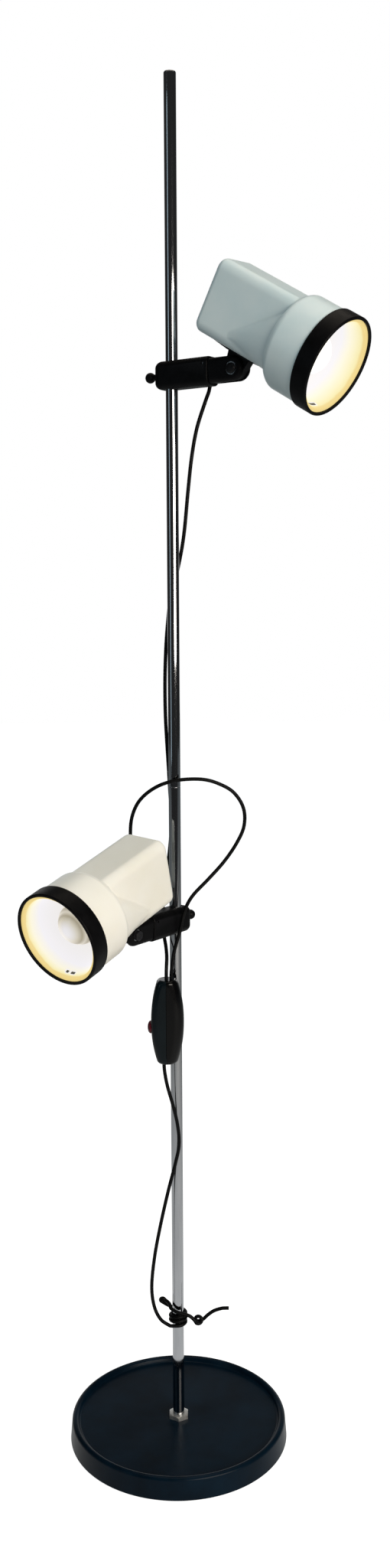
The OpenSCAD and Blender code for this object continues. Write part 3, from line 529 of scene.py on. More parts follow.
def startTree(name, sockets):
    # a node tree with a geometry output and these named inputs: name, kind, value
    tree = bpy.data.node_groups.new(name, "GeometryNodeTree")
    tree.interface.new_socket("Geometry", in_out="INPUT", socket_type="NodeSocketGeometry")
    for label, kind, value in sockets:
        made = tree.interface.new_socket(label, in_out="INPUT", socket_type="NodeSocket" + kind)
        made.default_value = value
    tree.interface.new_socket("Geometry", in_out="OUTPUT", socket_type="NodeSocketGeometry")
    return tree, addNode(tree, "NodeGroupInput"), addNode(tree, "NodeGroupOutput")


def endTree(tree, geometry, output, look):
    real = addNode(tree, "GeometryNodeRealizeInstances", inputs={"Geometry": geometry})
    last = addNode(tree, "GeometryNodeSetMaterial", inputs={
        "Geometry": real.outputs[0], "Material": looks[look]})
    tree.links.new(last.outputs[0], output.inputs[0])
    return tree


def rowOf(tree, start, axis, piece, scale=(1, 1, 1)):
    # the piece again and again along an axis, at the tree's own count and pitch
    step = addNode(tree, "ShaderNodeCombineXYZ", inputs={axis: start.outputs["pitch"]})
    line = addNode(tree, "GeometryNodeMeshLine", inputs={
        "Count": start.outputs["count"], "Offset": step.outputs[0]})
    return addNode(tree, "GeometryNodeInstanceOnPoints", inputs={
        "Points": line.outputs[0], "Instance": piece, "Scale": scale}).outputs[0]


def grow(name, tree, values, points=((0, 0, 0),), edges=()):
    # runs a tree with these values and keeps the result as a plain mesh
    mesh = bpy.data.meshes.new(name)
    mesh.from_pydata((np.asarray(points, float) * mm).tolist(), list(edges), [])
    made = bpy.data.objects.new(name, mesh)
    bpy.context.scene.collection.objects.link(made)
    modifier = made.modifiers.new("nodes", "NODES")
    modifier.node_group = tree
    for socket in tree.interface.items_tree:
        if socket.in_out == "INPUT" and socket.name in values:
            modifier[socket.identifier] = values[socket.name]
    return settle(made)


def tubeTree(look):
    # a round tube along a path, with flat ends
    tree, start, end = startTree("tubeOnPath", [("radius", "Float", 0.002), ("sides", "Int", 16)])
    path = addNode(tree, "GeometryNodeMeshToCurve", inputs={"Mesh": start.outputs["Geometry"]})
    ring = addNode(tree, "GeometryNodeCurvePrimitiveCircle", inputs={
        "Resolution": start.outputs["sides"], "Radius": start.outputs["radius"]})
    tube = addNode(tree, "GeometryNodeCurveToMesh", inputs={
        "Curve": path.outputs[0], "Profile Curve": ring.outputs[0], "Fill Caps": True})
    smooth = addNode(tree, "GeometryNodeSetShadeSmooth", inputs={"Geometry": tube.outputs[0]})
    return endTree(tree, smooth.outputs[0], end, look)


def slotTree():
    # a row of round-ended slots along X, each a solid to cut with
    tree, start, end = startTree("slotRow", [
        ("count", "Int", 5), ("pitch", "Float", 0.008), ("width", "Float", 0.0025),
        ("height", "Float", 0.024), ("depth", "Float", 0.01)])
    outline = addNode(tree, "GeometryNodeCurvePrimitiveQuadrilateral", inputs={
        "Width": start.outputs["width"], "Height": start.outputs["height"]})
    radius = addNode(tree, "ShaderNodeMath", {"operation": "MULTIPLY"}, {0: start.outputs["width"], 1: 0.45})
    soft = addNode(tree, "GeometryNodeFilletCurve", {"mode": "POLY"}, {
        "Curve": outline.outputs[0], "Radius": radius.outputs[0], "Count": 5})
    face = addNode(tree, "GeometryNodeFillCurve", {"mode": "NGONS"}, {"Curve": soft.outputs[0]})
    lift = addNode(tree, "ShaderNodeCombineXYZ", inputs={"Z": start.outputs["depth"]})
    block = addNode(tree, "GeometryNodeExtrudeMesh", inputs={
        "Mesh": face.outputs[0], "Offset": lift.outputs[0], "Offset Scale": 1.0, "Individual": False})
    under = addNode(tree, "GeometryNodeFlipFaces", inputs={"Mesh": face.outputs[0]})
    both = addNode(tree, "GeometryNodeJoinGeometry")
    tree.links.new(block.outputs[0], both.inputs[0])
    tree.links.new(under.outputs[0], both.inputs[0])
    whole = addNode(tree, "GeometryNodeMergeByDistance", inputs={
        "Geometry": both.outputs[0], "Distance": 1e-6})
    return endTree(tree, rowOf(tree, start, "X", whole.outputs[0]), end, "nylon")


def screwTree(template):
    # the same screw at each point of a line
    tree, start, end = startTree("screwRow", [("count", "Int", 2), ("pitch", "Float", 0.05)])
    model = addNode(tree, "GeometryNodeObjectInfo", inputs={"Object": template})
    return endTree(tree, rowOf(tree, start, "X", model.outputs["Geometry"]), end, "zinc")


def bowlTree():
    # a bowl about X whose depth grows with the square of its radius
    tree, start, end = startTree("bowl", [
        ("backRadius", "Float", 0.025), ("frontRadius", "Float", 0.0454), ("backX", "Float", 0.051),
        ("depth", "Float", 0.0515), ("rings", "Int", 40), ("segments", "Int", 129)])
    sheet = addNode(tree, "GeometryNodeMeshGrid", inputs={
        "Size X": 1.0, "Size Y": 1.0, "Vertices X": start.outputs["rings"],
        "Vertices Y": start.outputs["segments"]})
    spot = addNode(tree, "GeometryNodeInputPosition")
    parts = addNode(tree, "ShaderNodeSeparateXYZ", inputs={0: spot.outputs[0]})
    made = {"across": parts.outputs["X"], "round": parts.outputs["Y"]}
    made.update({key: start.outputs[key] for key in ("backRadius", "frontRadius", "backX", "depth")})
    # the grid's X becomes the share of the way to the rim, and its Y the angle about the axis
    for result, operation, *terms in (
        ("share", "ADD", "across", 0.5),
        ("angle", "MULTIPLY_ADD", "round", 2 * math.pi, math.pi),
        ("spread", "SUBTRACT", "frontRadius", "backRadius"),
        ("radius", "MULTIPLY_ADD", "share", "spread", "backRadius"),
        ("square", "MULTIPLY", "share", "share"),
        ("x", "MULTIPLY_ADD", "square", "depth", "backX"),
        ("cosine", "COSINE", "angle"),
        ("sine", "SINE", "angle"),
        ("y", "MULTIPLY", "radius", "cosine"),
        ("z", "MULTIPLY", "radius", "sine"),
    ):
        values = {k: made[term] if isinstance(term, str) else term for k, term in enumerate(terms)}
        made[result] = addNode(tree, "ShaderNodeMath", {"operation": operation}, values).outputs[0]
    place = addNode(tree, "ShaderNodeCombineXYZ", inputs={"X": made["x"], "Y": made["y"], "Z": made["z"]})
    bent = addNode(tree, "GeometryNodeSetPosition", inputs={
        "Geometry": sheet.outputs[0], "Position": place.outputs[0]})
    closed = addNode(tree, "GeometryNodeMergeByDistance", inputs={
        "Geometry": bent.outputs[0], "Distance": 1e-6})
    return endTree(tree, closed.outputs[0], end, "lowerReflector")


cords = {
    "diameter": 4,
    "step": 2.5,              # between rings along a cord
    "sides": 20,
    "wrapGap": 0.3,
    "poleD": 13,
    "switchAt": (-9, -22.5, 501.5),
    "switchH": 94,
    "socket": 4,              # how far each end goes in
    "leastSplit": 8,          # points that the stretch by the clamp has at least
    "glandX": 34,
    "glandY": (11, 15),       # from inside the gland to its mouth
    "leadX": {"upper": -1, "lower": 4.5},
    "mainsX": -4,
    "knotZ": 137,
    "knotTurns": 2.5,
}

lamps = {
    "upper": {"height": 1190, "turn": -34.5, "swivel": 4, "tilt": 30.5, "cordSide": 1},
    "lower": {"height": 610, "turn": -126.5, "swivel": -4, "tilt": 17.5, "cordSide": -1},
}

upperRoute = [
    (39, -3.3, 1189.5), (40.3, -1.2, 1183), (38.8, -0.5, 1174), (34.8, -1, 1163),
    (26, -3, 1136), (20.5, -3, 1107), (16.5, 0, 1073), (11.5, 4, 1025),
    (4.5, 9.5, 989), (-3, 10, 962), (-8.5, 7, 904), (-9.5, 5.5, 840),
    (-6, 8.5, 765), (-4, 10, 715), (-8, 11, 668), (-13.5, 10.5, 626),
    (-13.5, 9, 603), (-12.5, 1.5, 590), (-10.5, -9, 581), (-9.5, -17, 571),
]
lowerRoute = [
    (-35.5, -16, 610.5), (-40, -11, 614), (-44, -3, 622), (-47.5, 5, 640),
    (-49, 8, 665), (-49, 7, 697), (-47.5, 3, 720), (-41, -3, 738),
    (-30, -8, 751), (-14, -12, 761), (6, -12, 766), (31, -9, 766),
    (50, -6, 760), (65, -3, 750), (75, -1, 733), (75.5, 0, 713),
    (67, -2, 694), (53, -4, 674), (36, -9, 656), (20, -13, 640),
    (12, -15, 627), (8, -16.3, 614), (5.5, -17.5, 602), (1, -19, 587),
    (-2, -20, 575),
]
mainsRoute = [
    (-10, -20.5, 427), (-3.5, -14.5, 400), (1, -11, 377), (2.5, -10, 354),
    (-2, -10, 331), (-10, -11, 300), (-19, -12, 260), (-26, -12, 222),
    (-29.5, -12, 187), (-27, -12, 163), (-20, -11.5, 147), (-11, -10, 139),
]


def smoothLine(points, step):
    # the same smooth curve as the solids follow, with points that far apart
    p = np.asarray(points, float)
    out = []
    for i in range(len(p) - 1):
        a, b, c, d = p[max(i - 1, 0)], p[i], p[i + 1], p[min(i + 2, len(p) - 1)]
        parts = max(1, round(np.linalg.norm(c - b) / step))
        for k in range(parts):
            t = k / parts
            bend = (2 * a - 5 * b + 4 * c - d) + t * (3 * b - a - 3 * c + d)
            out.append(b + t / 2 * ((c - a) + t * bend))
    out.append(p[-1])
    return np.array(out)


def lengthOf(line):
    return float(np.linalg.norm(np.diff(line, axis=0), axis=1).sum())


def makeCord(name, line, tree, body=None, replaces=()):
    edges = [(k, k + 1) for k in range(len(line) - 1)]
    made = grow(name, tree, {"radius": cords["diameter"] / 2 * mm, "sides": cords["sides"]}, line, edges)
    tidyMesh(made)
    return dress(made, "cord", body, replaces, sharp=50)


def clampPoint(lamp, x, y):
    a = math.radians(lamp["turn"])
    return (x * math.cos(a) - y * math.sin(a), x * math.sin(a) + y * math.cos(a), lamp["height"])


def switchPoint(x, z):
    middle = cords["switchAt"]
    return (middle[0] + x, middle[1], middle[2] + z)


def leadLine(name, route):
    lamp = lamps[name]
    side = lamp["cordSide"]
    x = cords["leadX"][name]
    top = cords["switchH"] / 2
    start = [clampPoint(lamp, cords["glandX"], side * y) for y in cords["glandY"]]
    end = [switchPoint(x, top + 2 * cords["diameter"]), switchPoint(x, top - cords["socket"])]
    return smoothLine(start + route + end, cords["step"])


def makeLead(name, route, splitHeight, tree):
    # the lead in two pieces: the stretch by the clamp, and the long stretch below it
    line = leadLine(name, route)
    split = next(k for k, p in enumerate(line)
                 if abs(p[2] - splitHeight) < cords["step"] and k > cords["leastSplit"])
    short, long = line[:split + 1], line[split:]
    shortPiece = makeCord(name + "LeadByClamp", short, tree, replaces=(name + "_lead",))
    longPiece = makeCord(name + "Lead", long, tree, replaces=(name + "_lead",))
    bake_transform(shortPiece)
    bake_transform(longPiece)
    print(name, "lead:", round(lengthOf(line)), "mm")


def unit(v):
    return np.array(v, float) / np.linalg.norm(v)


knot = {
    "pitch": 5,
    "foldAt": (-19, 7, 158.5),
    "foldAlong": unit((-0.84, -0.12, 0.53)),
    "foldAcross": unit((0.5, -0.3, 0.81)),
    "foldR": 2.6,
    "curlAt": (23.5, -9.5, 145),
    "curlR": 3.6,
    "curlRise": 6,
    "curlTurn": (180, 412, 646),      # the angles where the curl starts, is at its middle height, and ends
    "toFold": [(-7, 9, 150.8), (-13, 8.2, 154)],
    "toCurl": [(-14.5, 5, 161), (-10, 0, 159.5), (-8, -7, 157.5), (-1, -11, 155), (7, -12, 153),
               (14, -12.5, 150.5)],
    "looseEnd": [(28.5, -5.3, 143), (34, -6.5, 149), (41, -7.5, 154.5), (49, -8, 157.5), (54, -8, 158),
                 (58, -8, 158)],
    "windStep": 7.5, "foldStep": 10, "curlStep": 9,      # degrees
    "runStep": 1.2, "endStep": 1.5,
}


def wrapRadius():
    # from the pole's axis to the middle of a cord wound round it
    return cords["poleD"] / 2 + cords["diameter"] / 2 + cords["wrapGap"]


def knotLine(s):
    wrapR = wrapRadius()
    wound = [
        (wrapR * math.sin(a), -wrapR * math.cos(a), cords["knotZ"] + s["pitch"] * a / (2 * math.pi))
        for a in np.radians(np.arange(0, 360 * cords["knotTurns"] + 1, s["windStep"]))
    ]
    foldAt, along, across = np.array(s["foldAt"]), s["foldAlong"], s["foldAcross"]
    fold = [
        foldAt + s["foldR"] * (math.sin(a) * along + (1 - math.cos(a)) * across)
        for a in np.radians(np.arange(0, 181, s["foldStep"]))
    ]
    first, middle, last = s["curlTurn"]
    curl = [
        np.array(s["curlAt"]) + (s["curlR"] * math.cos(a), s["curlRise"] * (math.degrees(a) - middle) / 360,
                                 s["curlR"] * math.sin(a))
        for a in np.radians(np.arange(first, last, s["curlStep"]))
    ]

    def run(start, points, end):
        return smoothLine([start, *points, end], s["runStep"])[1:-1].tolist()

    line = [*wound, *run(wound[-1], s["toFold"], fold[0]), *fold, *run(fold[-1], s["toCurl"], curl[0]), *curl]
    line += smoothLine([curl[-1], *s["looseEnd"]], s["endStep"])[1:].tolist()
    return np.array([(-cords["diameter"], -wrapR, cords["knotZ"]), *line])


def makeMains(tree):
    bottom = -cords["switchH"] / 2
    start = [switchPoint(cords["mainsX"], bottom + cords["socket"]),
             switchPoint(cords["mainsX"], bottom - 2 * cords["diameter"])]
    knotStart = (-cords["diameter"], -wrapRadius(), cords["knotZ"])
    before = (knotStart[0] - cords["diameter"], knotStart[1], knotStart[2])
    line = smoothLine(start + mainsRoute + [before, knotStart], cords["step"])
    mains = makeCord("mainsLead", line, tree, "stand", ("mains_lead",))
    tied = knotLine(knot)
    knotPiece = makeCord("mainsKnot", tied, tree, "stand", ("mains_knot",))
    print("mains:", round(lengthOf(line)), "mm, knot and tail:", round(lengthOf(tied)), "mm")


cordTree = tubeTree("cord")
makeLead("upper", upperRoute, 1136, cordTree)
makeLead("lower", lowerRoute, 640, cordTree)
makeMains(cordTree)
print("cords made")


base = {
    "outerD": 250, "height": 26, "draft": 2, "rimR": 4, "recess": 5, "wall": 2.5, "lift": 1.5,
    "hole": 5.05, "segments": 256, "innerFillet": 2.5, "rimFoot": 1.12,
    "hem": (0.25, 0.6, 0.4),      # the lower edge: in from the outside, in at its underside, and its height
}
pole = {"outerD": 13, "wall": 1.2, "foot": 26, "section": 731, "chamfer": 0.35, "segments": 128}
plug = {
    "length": 12, "gap": 0.05,
    # in from the tube's side, up from its end
    "dome": [(0.1, 0.02), (0.15, 0.5), (0.5, 1.05), (1.2, 1.4), (2.5, 1.5)],
}
footNut = {"flats": 21, "height": 5, "hole": 5.05, "chamfer": 30, "land": 0.97, "around": 96}


def makeBase(s):
    outer = s["outerD"] / 2
    beadR = outer - s["draft"] - s["rimR"]
    top = s["height"] - s["recess"]
    innerR = outer - s["draft"] - s["wall"]
    rim = arc((beadR, s["height"] - s["rimR"]), s["rimR"], 150, 0, 14)
    corners = [(s["hole"], top), (beadR - s["rimR"] * s["rimFoot"], top)]
    fillet = roundCorners([corners[0], corners[1], rim[0]], [0, s["innerFillet"], 0], 6)[:-1]
    hemSide, hemUnder, hemHeight = s["hem"]
    outline = fillet + rim + [
        [outer - hemSide, s["lift"] + hemHeight], [outer - hemUnder, s["lift"]],
        [outer - s["wall"], s["lift"]],
        [innerR, top - s["wall"]], [s["hole"], top - s["wall"]]]
    made = lathe("baseCover", outline, s["segments"])
    dress(made, "enamel", "stand", ("base_cover",))


def hexNut(name, s):
    # the flats meet a cone at the top, which leaves the curved edge of a real nut
    r, count = s["flats"] / 2, s["around"]
    slope = math.tan(math.radians(s["chamfer"]))
    landR = r * s["land"]
    rings = [[], [], [], [], []]
    for k in range(count):
        a = 2 * math.pi * k / count
        off = (math.degrees(a) + 30) % 60 - 30
        reach = r / math.cos(math.radians(off))
        radii = (s["hole"], reach, reach, landR, s["hole"])
        heights = (0, 0, s["height"] - (reach - landR) * slope, s["height"], s["height"])
        for ring, radius, z in zip(rings, radii, heights):
            ring.append((radius * math.cos(a), radius * math.sin(a), z))
    points = [p for ring in rings for p in ring]
    faces = []
    for i in range(5):
        j = (i + 1) % 5
        for k in range(count):
            n = (k + 1) % count
            faces.append([i * count + k, i * count + n, j * count + n, j * count + k])
    return tidyMesh(makeObject(name, points, faces))


def poleSection(name, low, s, node):
    r, c, high = s["outerD"] / 2, s["chamfer"], low + s["section"]
    inner = r - s["wall"]
    made = lathe(name, [
        (inner, low), (r - c, low), (r - c / 3, low + c / 3), (r, low + c), (r, high - c),
        (r - c / 3, high - c / 3), (r - c, high), (inner, high)], s["segments"])
    dress(made, "chrome", "stand", (node,), sharp=60)


def makePole(s, plug):
    joint = s["foot"] + s["section"]
    poleSection("poleLower", s["foot"], s, "pole_lower")
    poleSection("poleUpper", joint, s, "pole_upper")
    top, r = joint + s["section"], s["outerD"] / 2
    snug = r - s["wall"] - plug["gap"]
    dome = [(r - inward, top + up) for inward, up in plug["dome"]]
    low = top - plug["length"]
    outline = [(0, low), (snug, low), (snug, dome[0][1]), *dome, (0, dome[-1][1])]
    made = lathe("polePlug", outline, s["segments"], closed=False)
    dress(made, "chrome", "stand", ("pole_plug",), sharp=60)


makeBase(base)
nut = move(hexNut("footNut", footNut), at(z=base["height"] - base["recess"]))
dress(nut, "nut", "stand", ("foot_nut",))
makePole(pole, plug)
print("base and pole made")


clamp = {
    "back": -17, "front": 52, "width": 24, "height": 29, "edge": 7, "backR": 9, "frontR": 2,
    "boreD": 15.24, "insertD": 8.1, "insertL": 7, "screwD": 5.12, "spigotD": 14.12, "spigotX": 39.7,
    "glandX": 34, "glandD": 6.1, "wireD": 5.5, "pinX": 46, "pinZ": 7.3, "pinD": 3.1,
}
gland = {
    "collarD": 9, "tipD": 6.5, "bodyD": 6, "out": 3, "grip": 4, "holeD": 4.2, "wireD": 3, "collarEdge": 0.3,
    "collarH": 0.7, "tipEdge": 0.2, "bore": 4,
    "ribs": 3, "ribPitch": 0.8, "ribIn": 0.35, "ribShrink": 0.1, "ribR": 0.32, "ribZ": 0.75,
}
knob = {
    "ballD": 11, "ballX": -27.5, "neckD": 7.5, "neckEnd": -17.3, "screwD": 5.1, "joinIn": 0.6,
    "waist": (0.55, 0.8),      # in from the neck, up from where the ball ends
    "collar": [(0.3, 1.8), (0, 0.7), (0.15, 0.1), (0.4, 0)],      # in from the neck, down from its end
}
arm = {
    "start": 52.3, "pivot": 80, "width": 22, "height": 25, "edge": 5, "spigotD": 14, "spigotX": 40,
    "grooveX": 44.2, "grooveW": 3.6, "grooveD": 11, "forkGap": 11, "forkX": 60, "boltD": 6.1,
    "washerD": 13, "washerY": 9, "washerL": 6, "wireD": 5.5,
    "startEdge": 1.2, "spigotEdge": 0.4, "rootX": 53.8,
}
tiltBolt = {
    "headD": 11, "headH": 3, "shankD": 6, "seat": 10, "nutH": 4, "slot": 1.2, "slotDepth": 1.2,
    "slotSink": 0.3, "edge": 0.4, "headEdge": 0.3, "rimH": 0.9, "arcZ": -2.2, "arcOut": 0.35,
    "flatten": (0.62, 0.42),      # the crown's height is an arc's, times and plus these
}
tiltNut = {"flats": 10, "height": 4, "hole": 3.05, "chamfer": 30, "land": 0.97, "around": 96}


def clampPlace(lamp):
    return at(z=lamp["height"]) @ Matrix.Rotation(math.radians(lamp["turn"]), 4, "Z")


def armPlace(lamp):
    return clampPlace(lamp) @ Matrix.Rotation(math.radians(lamp["swivel"]), 4, "X")


def headPlace(lamp):
    return armPlace(lamp) @ at(x=arm["pivot"]) @ Matrix.Rotation(math.radians(lamp["tilt"]), 4, "Y")


def sideways(side):
    # from the middle of the arm out through its side
    return Matrix.Rotation(math.radians(-90 * side), 4, "X")


def makeClampBody(name, lamp, s):
    body = roundedBar(name + "ClampBody", s["back"], s["front"], s["width"], s["height"], s["edge"],
                      s["backR"], s["frontR"])
    side = lamp["cordSide"]
    cutters = [
        move(rod(s["boreD"], s["height"], flare=0.6, segments=96), at(z=-s["height"] / 2)),
        move(rod(s["insertD"], over + s["insertL"]), at(x=s["back"] - over) @ alongX),
        move(rod(s["screwD"], -s["back"]), at(x=s["back"]) @ alongX),
        move(rod(s["spigotD"], s["front"] - s["spigotX"] + over, segments=96), at(x=s["spigotX"]) @ alongX),
        move(rod(s["wireD"], s["spigotX"] - s["glandX"] + s["wireD"]),
             at(x=s["glandX"] - s["wireD"] / 2) @ alongX),
        move(rod(s["glandD"], s["width"]), at(x=s["glandX"]) @ sideways(side)),
        move(rod(s["pinD"], s["width"] + 4 * over),
             at(x=s["pinX"], y=-s["width"] / 2 - 2 * over, z=s["pinZ"]) @ alongY),
    ]
    cut(body, cutters)
    move(body, clampPlace(lamp))
    dress(body, "nylon", name + "_clamp", (name + "_clamp_body",))


def glandTree():
    # a stepped collar: the same soft ring again and again, each smaller than the last
    tree, start, end = startTree("glandRibs", [
        ("count", "Int", 3), ("pitch", "Float", 0.001), ("radius", "Float", 0.004), ("shrink", "Float", 0.14),
        ("thickness", "Float", 0.0005)])
    ring = addNode(tree, "GeometryNodeCurvePrimitiveCircle", inputs={
        "Resolution": 48, "Radius": start.outputs["radius"]})
    section = addNode(tree, "GeometryNodeCurvePrimitiveCircle", inputs={
        "Resolution": 12, "Radius": start.outputs["thickness"]})
    rib = addNode(tree, "GeometryNodeCurveToMesh", inputs={
        "Curve": ring.outputs[0], "Profile Curve": section.outputs[0]})
    order = addNode(tree, "GeometryNodeInputIndex")
    less = addNode(tree, "ShaderNodeMath", {"operation": "MULTIPLY"}, {
        0: order.outputs[0], 1: start.outputs["shrink"]})
    size = addNode(tree, "ShaderNodeMath", {"operation": "SUBTRACT"}, {0: 1.0, 1: less.outputs[0]})
    return endTree(tree, rowOf(tree, start, "Z", rib.outputs[0], size.outputs[0]), end, "nylon")


def makeGland(name, lamp, s, tree):
    collarR, tipR, holeR = s["collarD"] / 2, s["tipD"] / 2, s["holeD"] / 2
    bodyR, wireR = s["bodyD"] / 2, s["wireD"] / 2
    outline = [
        (wireR, -s["grip"]), (bodyR, -s["grip"]), (bodyR, 0), (collarR - s["collarEdge"], 0),
        (collarR, s["collarEdge"]), (collarR, s["collarH"]), (tipR, s["out"] - s["tipEdge"]),
        (tipR - s["tipEdge"], s["out"]), (holeR, s["out"]), (holeR, s["out"] - s["bore"]),
        (wireR, s["out"] - s["bore"])]
    body = lathe(name + "CordGland", outline, 64)
    ribs = grow(name + "GlandRibs", tree, {
        "count": s["ribs"], "pitch": s["ribPitch"] * mm, "radius": (collarR - s["ribIn"]) * mm,
        "shrink": s["ribShrink"], "thickness": s["ribR"] * mm})
    move(tidyMesh(ribs), at(z=s["ribZ"]))
    place = clampPlace(lamp) @ at(x=clamp["glandX"]) @ sideways(lamp["cordSide"]) @ at(z=clamp["width"] / 2)
    for piece in (body, ribs):
        move(piece, place)
    dress(body, "nylon", name + "_clamp", (name + "_cord_gland",))
    dress(ribs, "nylon", name + "_clamp", ())


def makeKnob(name, lamp, s):
    # a ball on a waisted neck
    r, neck, screwR = s["ballD"] / 2, s["neckD"] / 2, s["screwD"] / 2
    length = s["neckEnd"] - s["ballX"]
    meet = math.degrees(math.acos((neck - s["joinIn"]) / r))
    ball = arc((0, 0), r, -90, meet, 28)
    inward, up = s["waist"]
    waist = [(neck - inward, r * math.sin(math.radians(meet)) + up)]
    waist += [(neck - inward, length - down) for inward, down in s["collar"]]
    outline = ball + waist + [(screwR, length), (screwR, 0), (0, 0)]
    made = lathe(name + "ClampKnob", outline, 64, closed=False)
    move(made, clampPlace(lamp) @ at(x=s["ballX"]) @ alongX)
    dress(made, "nylon", name + "_knob", (name + "_clamp_knob",), sharp=50)


def bevelEdges(obj, width, segments, chosen):
    work = bmesh.new()
    work.from_mesh(obj.data)
    picked = [e for e in work.edges if chosen(e)]
    bmesh.ops.bevel(work, geom=picked, offset=width * mm, segments=segments, profile=0.5, affect="EDGES",
                    clamp_overlap=True)
    work.to_mesh(obj.data)
    work.free()
    return obj


def makeArm(name, lamp, s):
    r = s["height"] / 2
    half = s["width"] / 2
    outline = [[s["start"], -r]] + arc((s["pivot"], 0), r, -90, 90, 24) + [[s["start"], r]]
    body = prism(name + "Arm", outline, -half, half)

    def atStart(e):
        return all(v.co.x < (s["start"] + 0.1) * mm for v in e.verts)

    def onSides(e):
        ys = [v.co.y for v in e.verts]
        return abs(abs(ys[0]) - half * mm) < 1e-6 and abs(ys[0] - ys[1]) < 1e-6 and not atStart(e)

    bevelEdges(body, s["edge"], 6, onSides)
    bevelEdges(body, s["startEdge"], 3, atStart)
    tidyMesh(body)
    high, tip = r + 2 * over, s["pivot"] + 2 * r
    slot = prism("slot", [(s["forkX"], -high), (tip, -high), (tip, high), (s["forkX"], high)],
                 -s["forkGap"] / 2, s["forkGap"] / 2)
    cutters = [
        slot,
        move(rod(s["boltD"], s["width"] + 4 * over), at(x=s["pivot"], y=-half - 2 * over) @ alongY),
        move(rod(s["wireD"], s["forkX"] - s["start"] + 4 * over), at(x=s["start"] - 2 * over) @ alongX),
    ]
    for side in (-1, 1):
        seat = at(x=s["pivot"]) @ sideways(side) @ at(z=s["washerY"])
        cutters.append(move(rod(s["washerD"], s["washerL"], segments=96), seat))
    cut(body, cutters)
    wireR, spigotR, grooveR = s["wireD"] / 2, s["spigotD"] / 2, s["grooveD"] / 2
    end, edge, grooveEnd = s["spigotX"], s["spigotEdge"], s["grooveX"] + s["grooveW"]
    spigot = lathe("spigot", [
        (wireR, end), (spigotR - edge, end), (spigotR, end + edge), (spigotR, s["grooveX"]),
        (grooveR, s["grooveX"]), (grooveR, grooveEnd), (spigotR, grooveEnd), (spigotR, s["rootX"]),
        (wireR, s["rootX"])], 96)
    cut(body, [move(spigot, alongX)], "UNION")
    move(body, armPlace(lamp))
    dress(body, "nylon", name + "_arm", (name + "_arm",))


def makeTiltBolt(name, lamp, s):
    r, shank = s["headD"] / 2, s["shankD"] / 2
    low = -2 * s["seat"] - s["nutH"]
    times, plus = s["flatten"]
    crown = arc((0, s["arcZ"]), r + s["arcOut"], 30, 90, 8)
    top = [(max(x, 0), min(z * times + plus, s["headH"])) for x, z in crown]
    outline = [(0, low), (shank - s["edge"], low), (shank, low + s["edge"]), (shank, 0)]
    outline += [(r - s["headEdge"], 0), (r, s["headEdge"]), (r, s["rimH"])] + top[:-1] + [(0, top[-1][1])]
    bolt = lathe(name + "TiltBolt", outline, 64, closed=False)
    floor, high, side = s["headH"] - s["slotDepth"] - s["slotSink"], s["headH"] + 2 * over, r + over
    slot = prism("slot", [(-side, floor), (side, floor), (side, high), (-side, high)],
                 -s["slot"] / 2, s["slot"] / 2)
    cut(bolt, [slot])
    pivot = armPlace(lamp) @ at(x=arm["pivot"])
    move(bolt, pivot @ sideways(-1) @ at(z=s["seat"]))
    dress(bolt, "blackened", name + "_arm", (name + "_tilt_bolt",))
    nutPiece = move(hexNut(name + "TiltNut", tiltNut), pivot @ sideways(1) @ at(z=s["seat"]))
    dress(nutPiece, "blackened", name + "_arm", (name + "_tilt_nut",))


ribTree = glandTree()
for name, lamp in lamps.items():
    makeClampBody(name, lamp, clamp)
    makeGland(name, lamp, gland, ribTree)
    makeKnob(name, lamp, knob)
    makeArm(name, lamp, arm)
    makeTiltBolt(name, lamp, tiltBolt)
print("clamps and arms made")


head = {
    "axis": 51, "front": 106, "back": -50, "seat": 102.5,
    "boxW": 57, "boxH": 75, "boxMid": 55, "edgeR": 11, "rearR": 7, "wall": 2,
    "barrelR": 49, "barrelX": 46.5, "shoulderR": 9,
    "flareX": -5.5, "flareR": 44.5, "flareLow": 28.5, "flareHigh": 33.5, "blend": 1.6, "floorR": 4,
    "rayMid": 53, "rayReach": 70.0, "around": 240,
    "plainStep": 8, "flareStep": 1.8, "shoulderStep": 0.55,      # between the rings of points
    "screwX": (-24, 27), "screwD": 3.6, "cordHoleX": -14, "cordHoleD": 5.5,
    "ventCount": 5, "ventPitch": 8, "ventW": 2.5, "ventH": 24,
}
frontRing = {
    "outerR": 50.85, "openingR": 47.5, "length": 19, "lip": 2.5, "boreR": 49.05,
    "rounding": (0.3, 0.8, 1.3, 0.7, 0.2, 0),      # from the rear inner edge round by the front
}
reflector = {
    "backR": 25, "frontR": 45.4, "backX": 51, "wall": 1, "rings": 48, "segments": 129,
    "rim": {"join": 0.001, "gap": 0.6, "under": 0.4, "rise": 0.1, "top": 0.9},
    "slotX": 96, "slotW": 4.5, "slotL": 6, "slotPitch": 8, "slotY": 1, "slotReach": 0.35, "slotDepth": 0.5,
    "slotPaintedShade": -0.3,      # painted shade in the slots: below the first, black stop of the painted light along the head
}
holder = {
    "diameter": 38, "length": 44, "startX": 1.5, "nippleD": 10, "capD": 26.2, "depth": 20, "wireR": 2.7,
    # each list: out from the nipple's or the body's side, up from the start or the end
    "nipple": [(-0.4, -4.5), (0, -4), (0, 0)],
    "body": [(-4.6, 0), (-4, 0.6), (-0.6, 5.4), (0, 6.4), (0, 18), (-0.8, 18.8), (-0.8, 20.2), (0, 21)],
    "mouth": [(0, -1.2), (-0.4, -0.35), (-1.2, 0)], "mouthEdge": 0.8,
}
